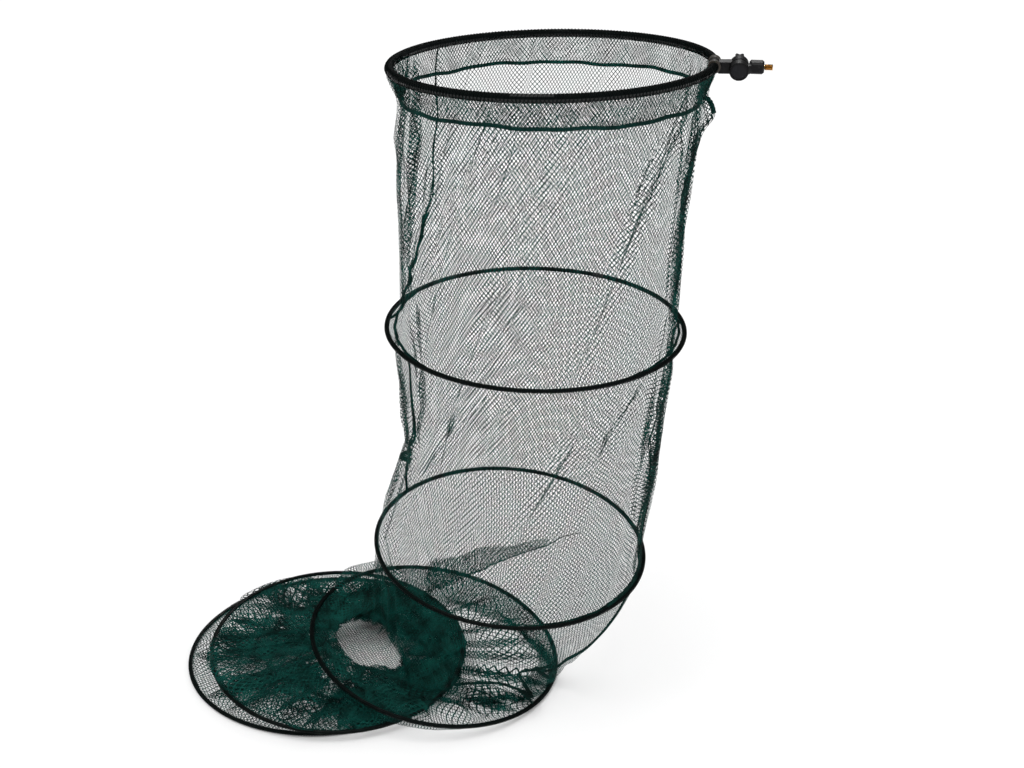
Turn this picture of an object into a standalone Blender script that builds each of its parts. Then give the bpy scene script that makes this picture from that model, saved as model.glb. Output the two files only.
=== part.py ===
"""A keep net: a round net bag on six hoops that hangs from a bank stick by a threaded stud.

Metres, +Z up. The origin is the centre of the stud's end face, and +X runs along the stud, away from
the net. The connector tilts about a pivot behind the stud, and the hoops hang below it on panels of net.
The last three hoops lie folded on the ground, as such a net does once its foot is let down.
"""

import math

import bmesh
import bpy
from mathutils import Matrix, Vector

OBJECT_NAME = "keep_net"
FULL_TURN = 2.0 * math.pi

# Clearances and cutters
GAP = 0.0003
RUNNING_GAP = 0.0006
CUT_OVERRUN = 0.002
MERGE_DISTANCE = 0.00001

# Threaded stud
STUD_RADIUS = 0.00475
STUD_REACH = 0.0125
STUD_CHAMFER = 0.0008
THREAD_PITCH = 0.00127
THREAD_DEPTH = 0.0008
SHANK_RADIUS = 0.0031
SHANK_LENGTH = 0.0110
KNURL_RADIUS = 0.0036
KNURL_LENGTH = 0.0060

# Stem: the block that holds the stud, and its half of the pivot
STEM_REACH = 0.0490
BLOCK_DEPTH = 0.0165
BLOCK_HEIGHT = 0.0180
BLOCK_CHAMFER = 0.0028
NECK_HEIGHT = 0.0130
NECK_START_SHARE = 0.6
DISC_RADIUS = 0.0141
DISC_EDGE = 0.0010
STEM_DISC_THICKNESS = 0.0150
CONNECTOR_ROLL = math.radians(10.0)

# Pivot bolt with its cap, the friction disc and the washer
FRICTION_RADIUS = 0.0115
FRICTION_THICKNESS = 0.0012
JOINT_OFFSET = -0.0060
BOLT_RADIUS = 0.0040
HEAD_ACROSS_FLATS = 0.0130
HEAD_HEIGHT = 0.0053
CAP_RADIUS = 0.0119
CAP_THICKNESS = 0.0014
CAP_SINK = 0.0005
CAP_DOME = 0.0004
CAP_CROWN_SHARES = (0.6, 0.3)
WASHER_RADIUS = 0.0085
WASHER_THICKNESS = 0.0016
DISC_EDGE_SHARE = 0.2

# Lock knob
KNOB_RADIUS = 0.0108
LOBE_COUNT = 6
LOBE_DEPTH = 0.0013
KNOB_HEIGHT = 0.0115
KNOB_EDGE = 0.0014
KNOB_BOSS_RADIUS = 0.0078
KNOB_BOSS_HEIGHT = 0.0035
NUT_ACROSS_FLATS = 0.0110
NUT_HEIGHT = 0.0065
BOLT_INTO_KNOB = 0.0115
BLIND_DEPTH = 0.0020

# Hub: the arm, its half of the pivot and the barrel between the mouth hoop's ends
HUB_DISC_THICKNESS = 0.0150
ARM_DEPTH = 0.0170
ARM_HEIGHT = 0.0180
ARM_EDGE = 0.0018
ARM_START_SHARE = 0.4
ARM_END_SHARE = 0.64
BARREL_RADIUS = 0.0086
BARREL_LENGTH = 0.0170
SPIGOT_RADIUS = 0.0040
SPIGOT_LENGTH = 0.0130
HUB_REACH = 0.0365

# Mouth hoop, its ferrules and their pins
MOUTH_RADIUS = 0.2435
MOUTH_TUBE_RADIUS = 0.0065
MOUTH_STEPS = 50
MOUTH_FLAT_HALF = 0.0240
MOUTH_TILT = math.radians(-1.2)
MOUTH_ROLL = math.radians(-0.46)
MOUTH_RISE = 0.0030
FERRULE_WALL = 0.0022
FERRULE_LENGTH = 0.0135
FERRULE_LIP = 0.0008
FERRULE_LIP_WIDTH = 0.0022
PIN_RADIUS = 0.0011

# Lower hoops: wire, joiner, and the net around them
WIRE_RADIUS = 0.0033
HOOP_STEPS = 40
BUTT_GAP = 0.0010
JOINER_LENGTH = 0.0200
JOINER_WALL = 0.0006

# Height of the stud's axis over the ground
STUD_HEIGHT = 1.0658

# Each lower hoop: its radius and its centre's offset from the mouth hoop's centre, as shares of the
# mouth hoop's radius, its tilts about X and Y and the turn of its joiner, in degrees. A hanging hoop
# is at a share of the stud's height below the stud. A lying hoop's lowest point is a number of hoop
# seats over the ground.
HOOPS = {
    "ring_2": {"radius_share": 0.984, "offset_shares": (-0.087, -0.010), "tilt": (2.4, 1.2), "turn": 70.0},
    "ring_3": {"radius_share": 0.951, "offset_shares": (-0.260, 0.017), "tilt": (5.4, 5.4), "turn": 60.0},
    "ring_4": {"radius_share": 0.890, "offset_shares": (-0.777, -0.217), "tilt": (2.7, 11.7), "turn": 80.0},
    "ring_5": {"radius_share": 0.900, "offset_shares": (-1.476, -0.305), "tilt": (4.6, 3.8), "turn": 200.0},
    "ring_6": {"radius_share": 1.000, "offset_shares": (-1.593, -0.156), "tilt": (0.0, 0.0), "turn": 150.0},
}
HANG_SHARES = {"ring_2": 0.3993, "ring_3": 0.7854}
SEAT_COUNTS = {"ring_4": 1.3, "ring_5": 3.4, "ring_6": 1.0}

# Net
NET_WALL = 0.0010
NET_SIDES = 36
FOLD_COUNT = 9
COLLAR_DEPTH = 0.0430
COLLAR_OUTSET = 0.0055
COLLAR_SLOT_SHARE = 1.1
HEM_RADIUS = 0.0016
HEM_STEPS = 44
BASE_GAP_PITCH = 0.0390
BASE_CORD_WIDTH = 0.0040
BASE_RIM_WIDTH = 0.0120

# Rows of each panel, how far it draws in at mid height, and how deep its folds are
PANELS = {
    "net_panel_1": {"rows": 5, "waist_share": 0.035, "fold_share": 0.012, "lies_flat": False},
    "net_panel_2": {"rows": 5, "waist_share": 0.050, "fold_share": 0.018, "lies_flat": False},
    "net_panel_3": {"rows": 4, "waist_share": -0.030, "fold_share": 0.025, "lies_flat": False},
    "net_panel_4": {"rows": 3, "waist_share": 0.0, "fold_share": 0.0, "lies_flat": True},
    "net_panel_5": {"rows": 2, "waist_share": 0.0, "fold_share": 0.0, "lies_flat": True},
}

# Colour, roughness and metallic value of each material
FINISHES = {
    "black_plastic": ((0.018, 0.018, 0.020), 0.42, 0.0),
    "cap_plastic": ((0.030, 0.030, 0.034), 0.55, 0.0),
    "gloss_plastic": ((0.008, 0.008, 0.009), 0.18, 0.0),
    "ferrule_plastic": ((0.085, 0.078, 0.068), 0.50, 0.0),
    "brass": ((0.62, 0.36, 0.12), 0.28, 1.0),
    "steel": ((0.55, 0.55, 0.57), 0.32, 1.0),
    "fibre": ((0.10, 0.045, 0.03), 0.80, 0.0),
    "coated_tube": ((0.010, 0.012, 0.012), 0.30, 0.0),
    "coated_wire": ((0.012, 0.016, 0.015), 0.40, 0.0),
    "net": ((0.008, 0.050, 0.038), 0.75, 0.0),
    "cord": ((0.006, 0.065, 0.050), 0.70, 0.0),
}


def clear_scene():
    for item in list(bpy.data.objects):
        bpy.data.objects.remove(item, do_unlink=True)


def new_collection(name):
    collection = bpy.data.collections.new(name)
    bpy.context.scene.collection.children.link(collection)
    return collection


def new_material(name, finish):
    colour, roughness, metallic = FINISHES[finish]
    material = bpy.data.materials.new(name)
    material.use_nodes = True
    shader = material.node_tree.nodes["Principled BSDF"]
    shader.inputs["Base Color"].default_value = (*colour, 1.0)
    shader.inputs["Roughness"].default_value = roughness
    shader.inputs["Metallic"].default_value = metallic
    material.diffuse_color = (*colour, 1.0)
    return material


def place(item, parent, local):
    item.parent = parent
    item.matrix_parent_inverse = Matrix.Identity(4)
    item.matrix_basis = local


def new_empty(name, parent, local):
    empty = bpy.data.objects.new(name, None)
    PARTS.objects.link(empty)
    place(empty, parent, local)
    return empty


def add_part(name, data, finish, parent, local):
    part = bpy.data.objects.new(name, data)
    PARTS.objects.link(part)
    place(part, parent, local)
    part.data.materials.append(new_material(name, finish))
    return part


def add_cutter(name, data, parent, local):
    cutter = bpy.data.objects.new(name, data)
    CUTTERS.objects.link(cutter)
    place(cutter, parent, local)
    cutter.hide_render = True
    cutter.display_type = "WIRE"
    return cutter


def combine(part, tool, operation):
    modifier = part.modifiers.new(tool.name, "BOOLEAN")
    modifier.object = tool
    modifier.operation = operation
    modifier.solver = "EXACT"


def bevel(part, width, segments, limit_deg):
    modifier = part.modifiers.new("edges", "BEVEL")
    modifier.width = width
    modifier.segments = segments
    modifier.limit_method = "ANGLE"
    modifier.angle_limit = math.radians(limit_deg)


def smooth(mesh, sharp_deg=35.0):
    mesh.shade_smooth()
    mesh.set_sharp_from_angle(angle=math.radians(sharp_deg))


def box_mesh(name, low, high):
    mesh = bpy.data.meshes.new(name)
    form = bmesh.new()
    bmesh.ops.create_cube(form, size=1.0)
    low, high = Vector(low), Vector(high)
    size = high - low
    bmesh.ops.scale(form, vec=size, verts=form.verts)
    bmesh.ops.translate(form, vec=(low + high) / 2.0, verts=form.verts)
    form.to_mesh(mesh)
    form.free()
    return mesh


def round_mesh(name, radius, start, end, sides=32):
    """A cylinder along local Y from start to end."""
    mesh = bpy.data.meshes.new(name)
    form = bmesh.new()
    size = {"radius1": radius, "radius2": radius, "depth": end - start}
    bmesh.ops.create_cone(form, cap_ends=True, segments=sides, **size)
    bmesh.ops.rotate(form, matrix=Matrix.Rotation(math.radians(-90.0), 3, "X"), verts=form.verts)
    bmesh.ops.translate(form, vec=(0.0, (start + end) / 2.0, 0.0), verts=form.verts)
    form.to_mesh(mesh)
    form.free()
    smooth(mesh)
    return mesh


def hex_mesh(name, across_flats, start, end):
    return round_mesh(name, across_flats / math.sqrt(3.0), start, end, sides=6)


def turned_mesh(name, profile, closed):
    """A profile of (radius, height) points, drawn in local X and Z, for a Screw modifier about Z."""
    mesh = bpy.data.meshes.new(name)
    points = [(radius, 0.0, height) for radius, height in profile]
    edges = [(i, i + 1) for i in range(len(points) - 1)]
    if closed:
        edges.append((len(points) - 1, 0))
    mesh.from_pydata(points, edges, [])
    return mesh


def turn(part, steps):
    modifier = part.modifiers.new("turn", "SCREW")
    modifier.axis = "Z"
    modifier.angle = FULL_TURN
    modifier.steps = steps
    modifier.render_steps = steps
    modifier.use_merge_vertices = True
    modifier.merge_threshold = MERGE_DISTANCE
    modifier.use_smooth_shade = True


def tube_curve(name, points, radius, resolution, cyclic=False):
    curve = bpy.data.curves.new(name, "CURVE")
    curve.dimensions = "3D"
    curve.fill_mode = "FULL"
    curve.bevel_depth = radius
    curve.bevel_resolution = resolution
    curve.use_fill_caps = True
    spline = curve.splines.new("POLY")
    spline.points.add(len(points) - 1)
    for slot, point in zip(spline.points, points):
        slot.co = (*point, 1.0)
    spline.use_cyclic_u = cyclic
    return curve


def outline_curve(name, loops, half_thickness):
    """A flat plate in local X and Y: the first loop is its rim and the others are holes."""
    curve = bpy.data.curves.new(name, "CURVE")
    curve.dimensions = "2D"
    curve.fill_mode = "BOTH"
    curve.extrude = half_thickness
    for loop in loops:
        spline = curve.splines.new("POLY")
        spline.points.add(len(loop) - 1)
        for slot, (x, y) in zip(spline.points, loop):
            slot.co = (x, y, 0.0, 1.0)
        spline.use_cyclic_u = True
    return curve


def mesh_from_curve(item):
    """The mesh of an evaluated curve object, with its caps joined to its wall."""
    bpy.context.view_layer.update()
    view = bpy.context.evaluated_depsgraph_get()
    mesh = bpy.data.meshes.new_from_object(item.evaluated_get(view))
    form = bmesh.new()
    form.from_mesh(mesh)
    bmesh.ops.remove_doubles(form, verts=form.verts, dist=MERGE_DISTANCE)
    bmesh.ops.recalc_face_normals(form, faces=form.faces)
    form.to_mesh(mesh)
    form.free()
    smooth(mesh)
    return mesh


def solid_from_curve(part):
    """Turns a curve object into a mesh object of the same name and place."""
    mesh = mesh_from_curve(part)
    name, parent, local = part.name, part.parent, part.matrix_basis.copy()
    bpy.data.objects.remove(part, do_unlink=True)
    solid = bpy.data.objects.new(name, mesh)
    PARTS.objects.link(solid)
    place(solid, parent, local)
    return solid


def cutter_from_curve(cutter):
    """Turns a curve cutter into a mesh cutter, since a curve can't cut."""
    mesh = mesh_from_curve(cutter)
    name, parent, local = cutter.name, cutter.parent, cutter.matrix_basis.copy()
    bpy.data.objects.remove(cutter, do_unlink=True)
    return add_cutter(name, mesh, parent, local)


def arc_points(radius, start, end, steps):
    angles = [start + (end - start) * i / steps for i in range(steps + 1)]
    return [Vector((radius * math.cos(angle), radius * math.sin(angle), 0.0)) for angle in angles]


# How far from a hoop's wire the net beside it starts, clear of the hoop's joiner
HOOP_SEAT = WIRE_RADIUS + GAP + JOINER_WALL + GAP

# Places along the pivot axis, local Y, from the stem's mid plane
STEM_DISC_BACK = JOINT_OFFSET - FRICTION_THICKNESS / 2.0 - GAP
STEM_DISC_FRONT = STEM_DISC_BACK - STEM_DISC_THICKNESS
HUB_DISC_FRONT = JOINT_OFFSET + FRICTION_THICKNESS / 2.0 + GAP
HUB_DISC_BACK = HUB_DISC_FRONT + HUB_DISC_THICKNESS
CAP_FRONT = STEM_DISC_FRONT + CAP_SINK
CAP_BACK = CAP_FRONT + CAP_THICKNESS
HEAD_FRONT = CAP_BACK + GAP
HEAD_BACK = HEAD_FRONT + HEAD_HEIGHT
WASHER_FRONT = HUB_DISC_BACK + GAP
WASHER_BACK = WASHER_FRONT + WASHER_THICKNESS
KNOB_FRONT = WASHER_BACK + GAP
BOLT_END = KNOB_FRONT + BOLT_INTO_KNOB

# The mouth hoop's flat, where its two ends meet the hub, from the hoop's centre
MOUTH_FLAT_REACH = math.sqrt(MOUTH_RADIUS**2 - MOUTH_FLAT_HALF**2)
FERRULE_BORE = MOUTH_TUBE_RADIUS + GAP
FERRULE_RADIUS = FERRULE_BORE + FERRULE_WALL
BARREL_END = BARREL_LENGTH / 2.0
FERRULE_START = BARREL_END + GAP
FERRULE_END = FERRULE_START + FERRULE_LENGTH
PIN_PLACE = FERRULE_START + FERRULE_LENGTH / 2.0

# The stem, the frame's tilt about the pivot, and the mouth hoop's centre
STEM_PLACE = Matrix.Translation((-STEM_REACH, 0.0, 0.0)) @ Matrix.Rotation(CONNECTOR_ROLL, 4, "X")
FRAME_TURN = Matrix.Rotation(MOUTH_TILT, 4, "Y")
MOUTH_OUT = Matrix.Translation((-HUB_REACH - MOUTH_FLAT_REACH, 0.0, MOUTH_RISE))
MOUTH_OFFSET = Matrix.Rotation(MOUTH_ROLL - CONNECTOR_ROLL, 4, "X") @ MOUTH_OUT
MOUTH_PLACE = STEM_PLACE @ FRAME_TURN @ MOUTH_OFFSET

# The top panel's rim dips under the ferrules, one step of its rim past their ends
HUB_DIP_HALF = FERRULE_END + FULL_TURN * MOUTH_RADIUS / NET_SIDES


def make_stem(pivot):
    """The block, its neck and the front half of the pivot, bored for the stud and the bolt."""
    form = round_mesh("stem", DISC_RADIUS, STEM_DISC_FRONT, STEM_DISC_BACK, 40)
    disc = add_part("stem", form, "black_plastic", pivot, Matrix())
    bevel(disc, DISC_EDGE, 2, 60.0)

    block_start = DISC_RADIUS + RUNNING_GAP
    block_end = STEM_REACH - STUD_REACH
    half_depth, half_height = BLOCK_DEPTH / 2.0, BLOCK_HEIGHT / 2.0
    low = (block_start, -half_depth, -half_height)
    high = (block_end, half_depth, half_height)
    block = add_cutter("stem_block_form", box_mesh("stem_block_form", low, high), pivot, Matrix())
    bevel(block, BLOCK_CHAMFER, 1, 60.0)
    combine(disc, block, "UNION")

    neck_front = STEM_DISC_FRONT + DISC_EDGE * 2.0
    neck_overlap = block_start + BLOCK_CHAMFER * 2.0
    neck = [
        (0.0, neck_front),
        (DISC_RADIUS * NECK_START_SHARE, neck_front),
        (neck_overlap, -half_depth + DISC_EDGE),
        (neck_overlap, 0.0),
        (block_start + BLOCK_CHAMFER, 0.0),
        (0.0, STEM_DISC_BACK - DISC_EDGE / 2.0),
    ]
    outline = outline_curve("stem_neck_form", [neck], NECK_HEIGHT / 2.0)
    neck_form = cutter_from_curve(add_cutter("stem_neck_form", outline, pivot, Matrix()))
    combine(disc, neck_form, "UNION")

    sweep_radius = DISC_RADIUS + RUNNING_GAP
    sweep = round_mesh("hub_sweep", sweep_radius, STEM_DISC_BACK, HUB_DISC_BACK + CUT_OVERRUN, 40)
    combine(disc, add_cutter("hub_sweep", sweep, pivot, Matrix()), "DIFFERENCE")

    recess = round_mesh("cap_recess", CAP_RADIUS + GAP, STEM_DISC_FRONT - CUT_OVERRUN, CAP_BACK + GAP)
    combine(disc, add_cutter("cap_recess", recess, pivot, Matrix()), "DIFFERENCE")
    pocket = hex_mesh("head_pocket", HEAD_ACROSS_FLATS + 2.0 * GAP, CAP_BACK, HEAD_BACK + GAP)
    combine(disc, add_cutter("head_pocket", pocket, pivot, Matrix()), "DIFFERENCE")
    bore = round_mesh("stem_bore", BOLT_RADIUS + GAP, HEAD_FRONT, STEM_DISC_BACK + CUT_OVERRUN, 24)
    combine(disc, add_cutter("stem_bore", bore, pivot, Matrix()), "DIFFERENCE")

    across = Matrix.Rotation(math.radians(-90.0), 4, "Z")
    seat_start = block_end - SHANK_LENGTH - GAP
    seat = round_mesh("stud_seat", KNURL_RADIUS + GAP, seat_start, block_end + CUT_OVERRUN, 24)
    combine(disc, add_cutter("stud_seat", seat, pivot, across), "DIFFERENCE")


def make_stud(pivot):
    """The brass stud, turned about its own axis, with its knurled shank inside the block.

    Its thread is a row of ridges, a pitch apart, which stand in for a screw thread."""
    shoulder = -STUD_REACH
    shank_end = shoulder - SHANK_LENGTH
    profile = [
        (0.0, 0.0),
        (STUD_RADIUS - STUD_CHAMFER, 0.0),
        (STUD_RADIUS, -STUD_CHAMFER),
    ]
    ridges = int((STUD_REACH - STUD_CHAMFER * 2.0) / THREAD_PITCH)
    for ridge in range(ridges):
        crest = -STUD_CHAMFER - THREAD_PITCH * ridge
        profile.append((STUD_RADIUS - THREAD_DEPTH, crest - THREAD_PITCH / 2.0))
        profile.append((STUD_RADIUS, crest - THREAD_PITCH))
    profile += [
        (SHANK_RADIUS, shoulder + STUD_CHAMFER / 2.0),
        (SHANK_RADIUS, shank_end + KNURL_LENGTH + STUD_CHAMFER),
        (KNURL_RADIUS, shank_end + KNURL_LENGTH),
        (KNURL_RADIUS, shank_end),
        (0.0, shank_end),
    ]
    along = Matrix.Translation((STEM_REACH, 0.0, 0.0)) @ Matrix.Rotation(math.radians(90.0), 4, "Y")
    stud = add_part("stud", turned_mesh("stud", profile, False), "brass", pivot, along)
    turn(stud, 28)


def make_pivot_bolt(pivot):
    head = hex_mesh("pivot_bolt", HEAD_ACROSS_FLATS, HEAD_FRONT, HEAD_BACK)
    bolt = add_part("pivot_bolt", head, "steel", pivot, Matrix())
    shank = round_mesh("bolt_shank_form", BOLT_RADIUS, HEAD_FRONT + HEAD_HEIGHT / 2.0, BOLT_END, 24)
    combine(bolt, add_cutter("bolt_shank_form", shank, pivot, Matrix()), "UNION")


def make_front_cap(pivot):
    """A slightly domed cover over the bolt's head."""
    crown_reach, crown_drop = CAP_CROWN_SHARES
    profile = [
        (0.0, CAP_THICKNESS),
        (CAP_RADIUS * crown_reach, CAP_THICKNESS - CAP_DOME * crown_drop),
        (CAP_RADIUS - CAP_DOME, CAP_THICKNESS - CAP_DOME),
        (CAP_RADIUS, CAP_THICKNESS - CAP_DOME * 2.0),
        (CAP_RADIUS, 0.0),
        (0.0, 0.0),
    ]
    facing = Matrix.Translation((0.0, CAP_BACK, 0.0)) @ Matrix.Rotation(math.radians(90.0), 4, "X")
    cap = add_part("front_cap", turned_mesh("front_cap", profile, False), "cap_plastic", pivot, facing)
    turn(cap, 32)


def ring_profile(inner, outer, start, end, edge):
    return [
        (outer - edge, end),
        (outer, end - edge),
        (outer, start + edge),
        (outer - edge, start),
        (inner, start),
        (inner, end),
    ]


def make_friction_disc(pivot):
    half = FRICTION_THICKNESS / 2.0
    edge = FRICTION_THICKNESS * DISC_EDGE_SHARE
    profile = ring_profile(BOLT_RADIUS + GAP, FRICTION_RADIUS, -half, half, edge)
    facing = Matrix.Translation((0.0, JOINT_OFFSET, 0.0)) @ Matrix.Rotation(math.radians(-90.0), 4, "X")
    disc = add_part("friction_disc", turned_mesh("friction_disc", profile, True), "fibre", pivot, facing)
    turn(disc, 28)


def make_washer(knob_axis):
    edge = WASHER_THICKNESS * DISC_EDGE_SHARE
    profile = ring_profile(BOLT_RADIUS + GAP, WASHER_RADIUS, 0.0, WASHER_THICKNESS, edge)
    facing = Matrix.Translation((0.0, WASHER_FRONT, 0.0)) @ Matrix.Rotation(math.radians(-90.0), 4, "X")
    washer = add_part("washer", turned_mesh("washer", profile, True), "steel", knob_axis, facing)
    turn(washer, 28)


def lobed_loop(radius, depth, count, points_per_lobe):
    steps = count * points_per_lobe
    loop = []
    for i in range(steps):
        angle = FULL_TURN * i / steps
        reach = radius - depth * (1.0 - math.cos(count * angle))
        loop.append((reach * math.cos(angle), reach * math.sin(angle)))
    return loop


def make_lock_knob(knob_axis):
    """A lobed head on a round boss, with a pocket for its nut and a blind bore for the bolt."""
    boss_back = KNOB_FRONT + KNOB_BOSS_HEIGHT
    head_middle = Matrix.Translation((0.0, boss_back + KNOB_HEIGHT / 2.0, 0.0))
    facing = head_middle @ Matrix.Rotation(math.radians(90.0), 4, "X")
    loop = lobed_loop(KNOB_RADIUS, LOBE_DEPTH, LOBE_COUNT, 8)
    head = outline_curve("lock_knob", [loop], KNOB_HEIGHT / 2.0)
    knob = add_part("lock_knob", head, "gloss_plastic", knob_axis, facing)
    knob = solid_from_curve(knob)
    bevel(knob, KNOB_EDGE, 2, 60.0)
    boss = round_mesh("knob_boss_form", KNOB_BOSS_RADIUS, KNOB_FRONT, boss_back + KNOB_EDGE * 2.0, 28)
    combine(knob, add_cutter("knob_boss_form", boss, knob_axis, Matrix()), "UNION")
    pocket_end = KNOB_FRONT + GAP + NUT_HEIGHT + GAP
    pocket_size = NUT_ACROSS_FLATS + 2.0 * GAP
    pocket = hex_mesh("nut_pocket", pocket_size, KNOB_FRONT - CUT_OVERRUN, pocket_end)
    combine(knob, add_cutter("nut_pocket", pocket, knob_axis, Matrix()), "DIFFERENCE")
    bore = round_mesh("knob_bore", BOLT_RADIUS + GAP, KNOB_FRONT, BOLT_END + BLIND_DEPTH, 24)
    combine(knob, add_cutter("knob_bore", bore, knob_axis, Matrix()), "DIFFERENCE")


def make_knob_nut(knob_axis):
    start = KNOB_FRONT + GAP
    end = start + NUT_HEIGHT
    form = hex_mesh("knob_nut", NUT_ACROSS_FLATS, start, end)
    nut = add_part("knob_nut", form, "brass", knob_axis, Matrix())
    bore = round_mesh("nut_bore", BOLT_RADIUS + GAP, start - CUT_OVERRUN, end + CUT_OVERRUN, 24)
    combine(nut, add_cutter("nut_bore", bore, knob_axis, Matrix()), "DIFFERENCE")


def make_ring_hub(frame_axis, mouth):
    """The arm from the pivot to the barrel, whose two spigots enter the ends of the mouth hoop."""
    disc = round_mesh("ring_hub", DISC_RADIUS, HUB_DISC_FRONT, HUB_DISC_BACK, 40)
    hub = add_part("ring_hub", disc, "black_plastic", frame_axis, Matrix())
    bevel(hub, DISC_EDGE, 2, 60.0)

    half_depth, half_height = ARM_DEPTH / 2.0, ARM_HEIGHT / 2.0
    low = (-HUB_REACH + BARREL_RADIUS * ARM_END_SHARE, -half_depth, -half_height)
    high = (-DISC_RADIUS * ARM_START_SHARE, half_depth - DISC_EDGE, half_height)
    arm = add_cutter("hub_arm_form", box_mesh("hub_arm_form", low, high), frame_axis, Matrix())
    bevel(arm, ARM_EDGE, 2, 60.0)
    sweep_end = HUB_DISC_FRONT + DISC_EDGE
    sweep = round_mesh("stem_sweep", DISC_RADIUS + RUNNING_GAP, STEM_DISC_FRONT - CUT_OVERRUN, sweep_end, 40)
    combine(arm, add_cutter("stem_sweep", sweep, frame_axis, Matrix()), "DIFFERENCE")

    at_flat = Matrix.Translation((MOUTH_FLAT_REACH, 0.0, 0.0))
    room = FERRULE_RADIUS + FERRULE_LIP + RUNNING_GAP
    spans = {"front": (-FERRULE_END, -BARREL_END), "rear": (BARREL_END, FERRULE_END)}
    for side, (start, end) in spans.items():
        clearing = round_mesh("ferrule_room_" + side, room, start, end)
        combine(arm, add_cutter("ferrule_room_" + side, clearing, mouth, at_flat), "DIFFERENCE")
    combine(hub, arm, "UNION")

    barrel_form = round_mesh("hub_barrel_form", BARREL_RADIUS, -BARREL_END, BARREL_END, 32)
    barrel = add_cutter("hub_barrel_form", barrel_form, mouth, at_flat)
    bevel(barrel, DISC_EDGE, 1, 60.0)
    combine(hub, barrel, "UNION")
    spigot_end = BARREL_END + SPIGOT_LENGTH
    spigots = round_mesh("hub_spigot_form", SPIGOT_RADIUS, -spigot_end, spigot_end, 20)
    combine(hub, add_cutter("hub_spigot_form", spigots, mouth, at_flat), "UNION")

    bore_start, bore_end = HUB_DISC_FRONT - CUT_OVERRUN, HUB_DISC_BACK + CUT_OVERRUN
    bore = round_mesh("hub_bore", BOLT_RADIUS + GAP, bore_start, bore_end, 24)
    combine(hub, add_cutter("hub_bore", bore, frame_axis, Matrix()), "DIFFERENCE")
    for drill in PIN_DRILLS.values():
        combine(hub, drill, "DIFFERENCE")


def pin_matrix(side):
    """Upright through the ferrule on the front (-1) or rear (+1) side; a round mesh lies along Y."""
    upright = Matrix.Rotation(math.radians(90.0), 4, "X")
    return Matrix.Translation((MOUTH_FLAT_REACH, side * PIN_PLACE, 0.0)) @ upright


def make_pin_drills(mouth):
    reach = FERRULE_RADIUS + CUT_OVERRUN
    for side, name in ((-1.0, "pin_drill_front"), (1.0, "pin_drill_rear")):
        drill = round_mesh(name, PIN_RADIUS + GAP, -reach, reach, 12)
        PIN_DRILLS[side] = add_cutter(name, drill, mouth, pin_matrix(side))


def make_ring_pin(name, mouth, side):
    """An upright pin that holds one end of the mouth hoop in its ferrule."""
    pin = round_mesh(name, PIN_RADIUS, -FERRULE_RADIUS, FERRULE_RADIUS, 12)
    add_part(name, pin, "steel", mouth, pin_matrix(side))


def make_top_ring(mouth):
    """The mouth hoop: a tube round most of a circle, with a straight end on each side of the hub."""
    flat_angle = math.asin(MOUTH_FLAT_HALF / MOUTH_RADIUS)
    start = BARREL_END + GAP
    points = [Vector((MOUTH_FLAT_REACH, start, 0.0))]
    points += arc_points(MOUTH_RADIUS, flat_angle, FULL_TURN - flat_angle, MOUTH_STEPS)
    points.append(Vector((MOUTH_FLAT_REACH, -start, 0.0)))
    tube = tube_curve("top_ring", points, MOUTH_TUBE_RADIUS, 3)
    ring = solid_from_curve(add_part("top_ring", tube, "coated_tube", mouth, Matrix()))
    at_flat = Matrix.Translation((MOUTH_FLAT_REACH, 0.0, 0.0))
    bore_end = BARREL_END + SPIGOT_LENGTH + GAP
    bores = round_mesh("ring_bore", SPIGOT_RADIUS + GAP, -bore_end, bore_end, 20)
    combine(ring, add_cutter("ring_bore", bores, mouth, at_flat), "DIFFERENCE")
    for drill in PIN_DRILLS.values():
        combine(ring, drill, "DIFFERENCE")


def make_ferrule(name, mouth, side):
    """A collar over one end of the mouth hoop, with a lip at each rim."""
    lip = FERRULE_RADIUS + FERRULE_LIP
    profile = [
        (lip, FERRULE_END),
        (lip, FERRULE_END - FERRULE_LIP_WIDTH),
        (FERRULE_RADIUS, FERRULE_END - FERRULE_LIP_WIDTH - FERRULE_LIP),
        (FERRULE_RADIUS, FERRULE_START),
        (FERRULE_BORE, FERRULE_START),
        (FERRULE_BORE, FERRULE_END),
    ]
    at_flat = Matrix.Translation((MOUTH_FLAT_REACH, 0.0, 0.0))
    facing = at_flat @ Matrix.Rotation(math.radians(-90.0 * side), 4, "X")
    ferrule = add_part(name, turned_mesh(name, profile, True), "ferrule_plastic", mouth, facing)
    turn(ferrule, 24)
    combine(ferrule, PIN_DRILLS[side], "DIFFERENCE")


def hoop_radius(name):
    return MOUTH_RADIUS * HOOPS[name]["radius_share"]


def hoop_matrix(name):
    """The place of a lower hoop: at its drop if it hangs, or with its lowest point at its seat."""
    hoop = HOOPS[name]
    tilt_x, tilt_y = (math.radians(angle) for angle in hoop["tilt"])
    turned = Matrix.Rotation(tilt_y, 4, "Y") @ Matrix.Rotation(tilt_x, 4, "X")
    if name in HANG_SHARES:
        height = -STUD_HEIGHT * HANG_SHARES[name]
    else:
        dip = hoop_radius(name) * math.hypot(turned[2][0], turned[2][1])
        height = -STUD_HEIGHT + HOOP_SEAT * SEAT_COUNTS[name] + dip
    offset_x, offset_y = (MOUTH_RADIUS * share for share in hoop["offset_shares"])
    middle = MOUTH_PLACE.translation
    return Matrix.Translation((middle.x + offset_x, middle.y + offset_y, height)) @ turned


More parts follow.
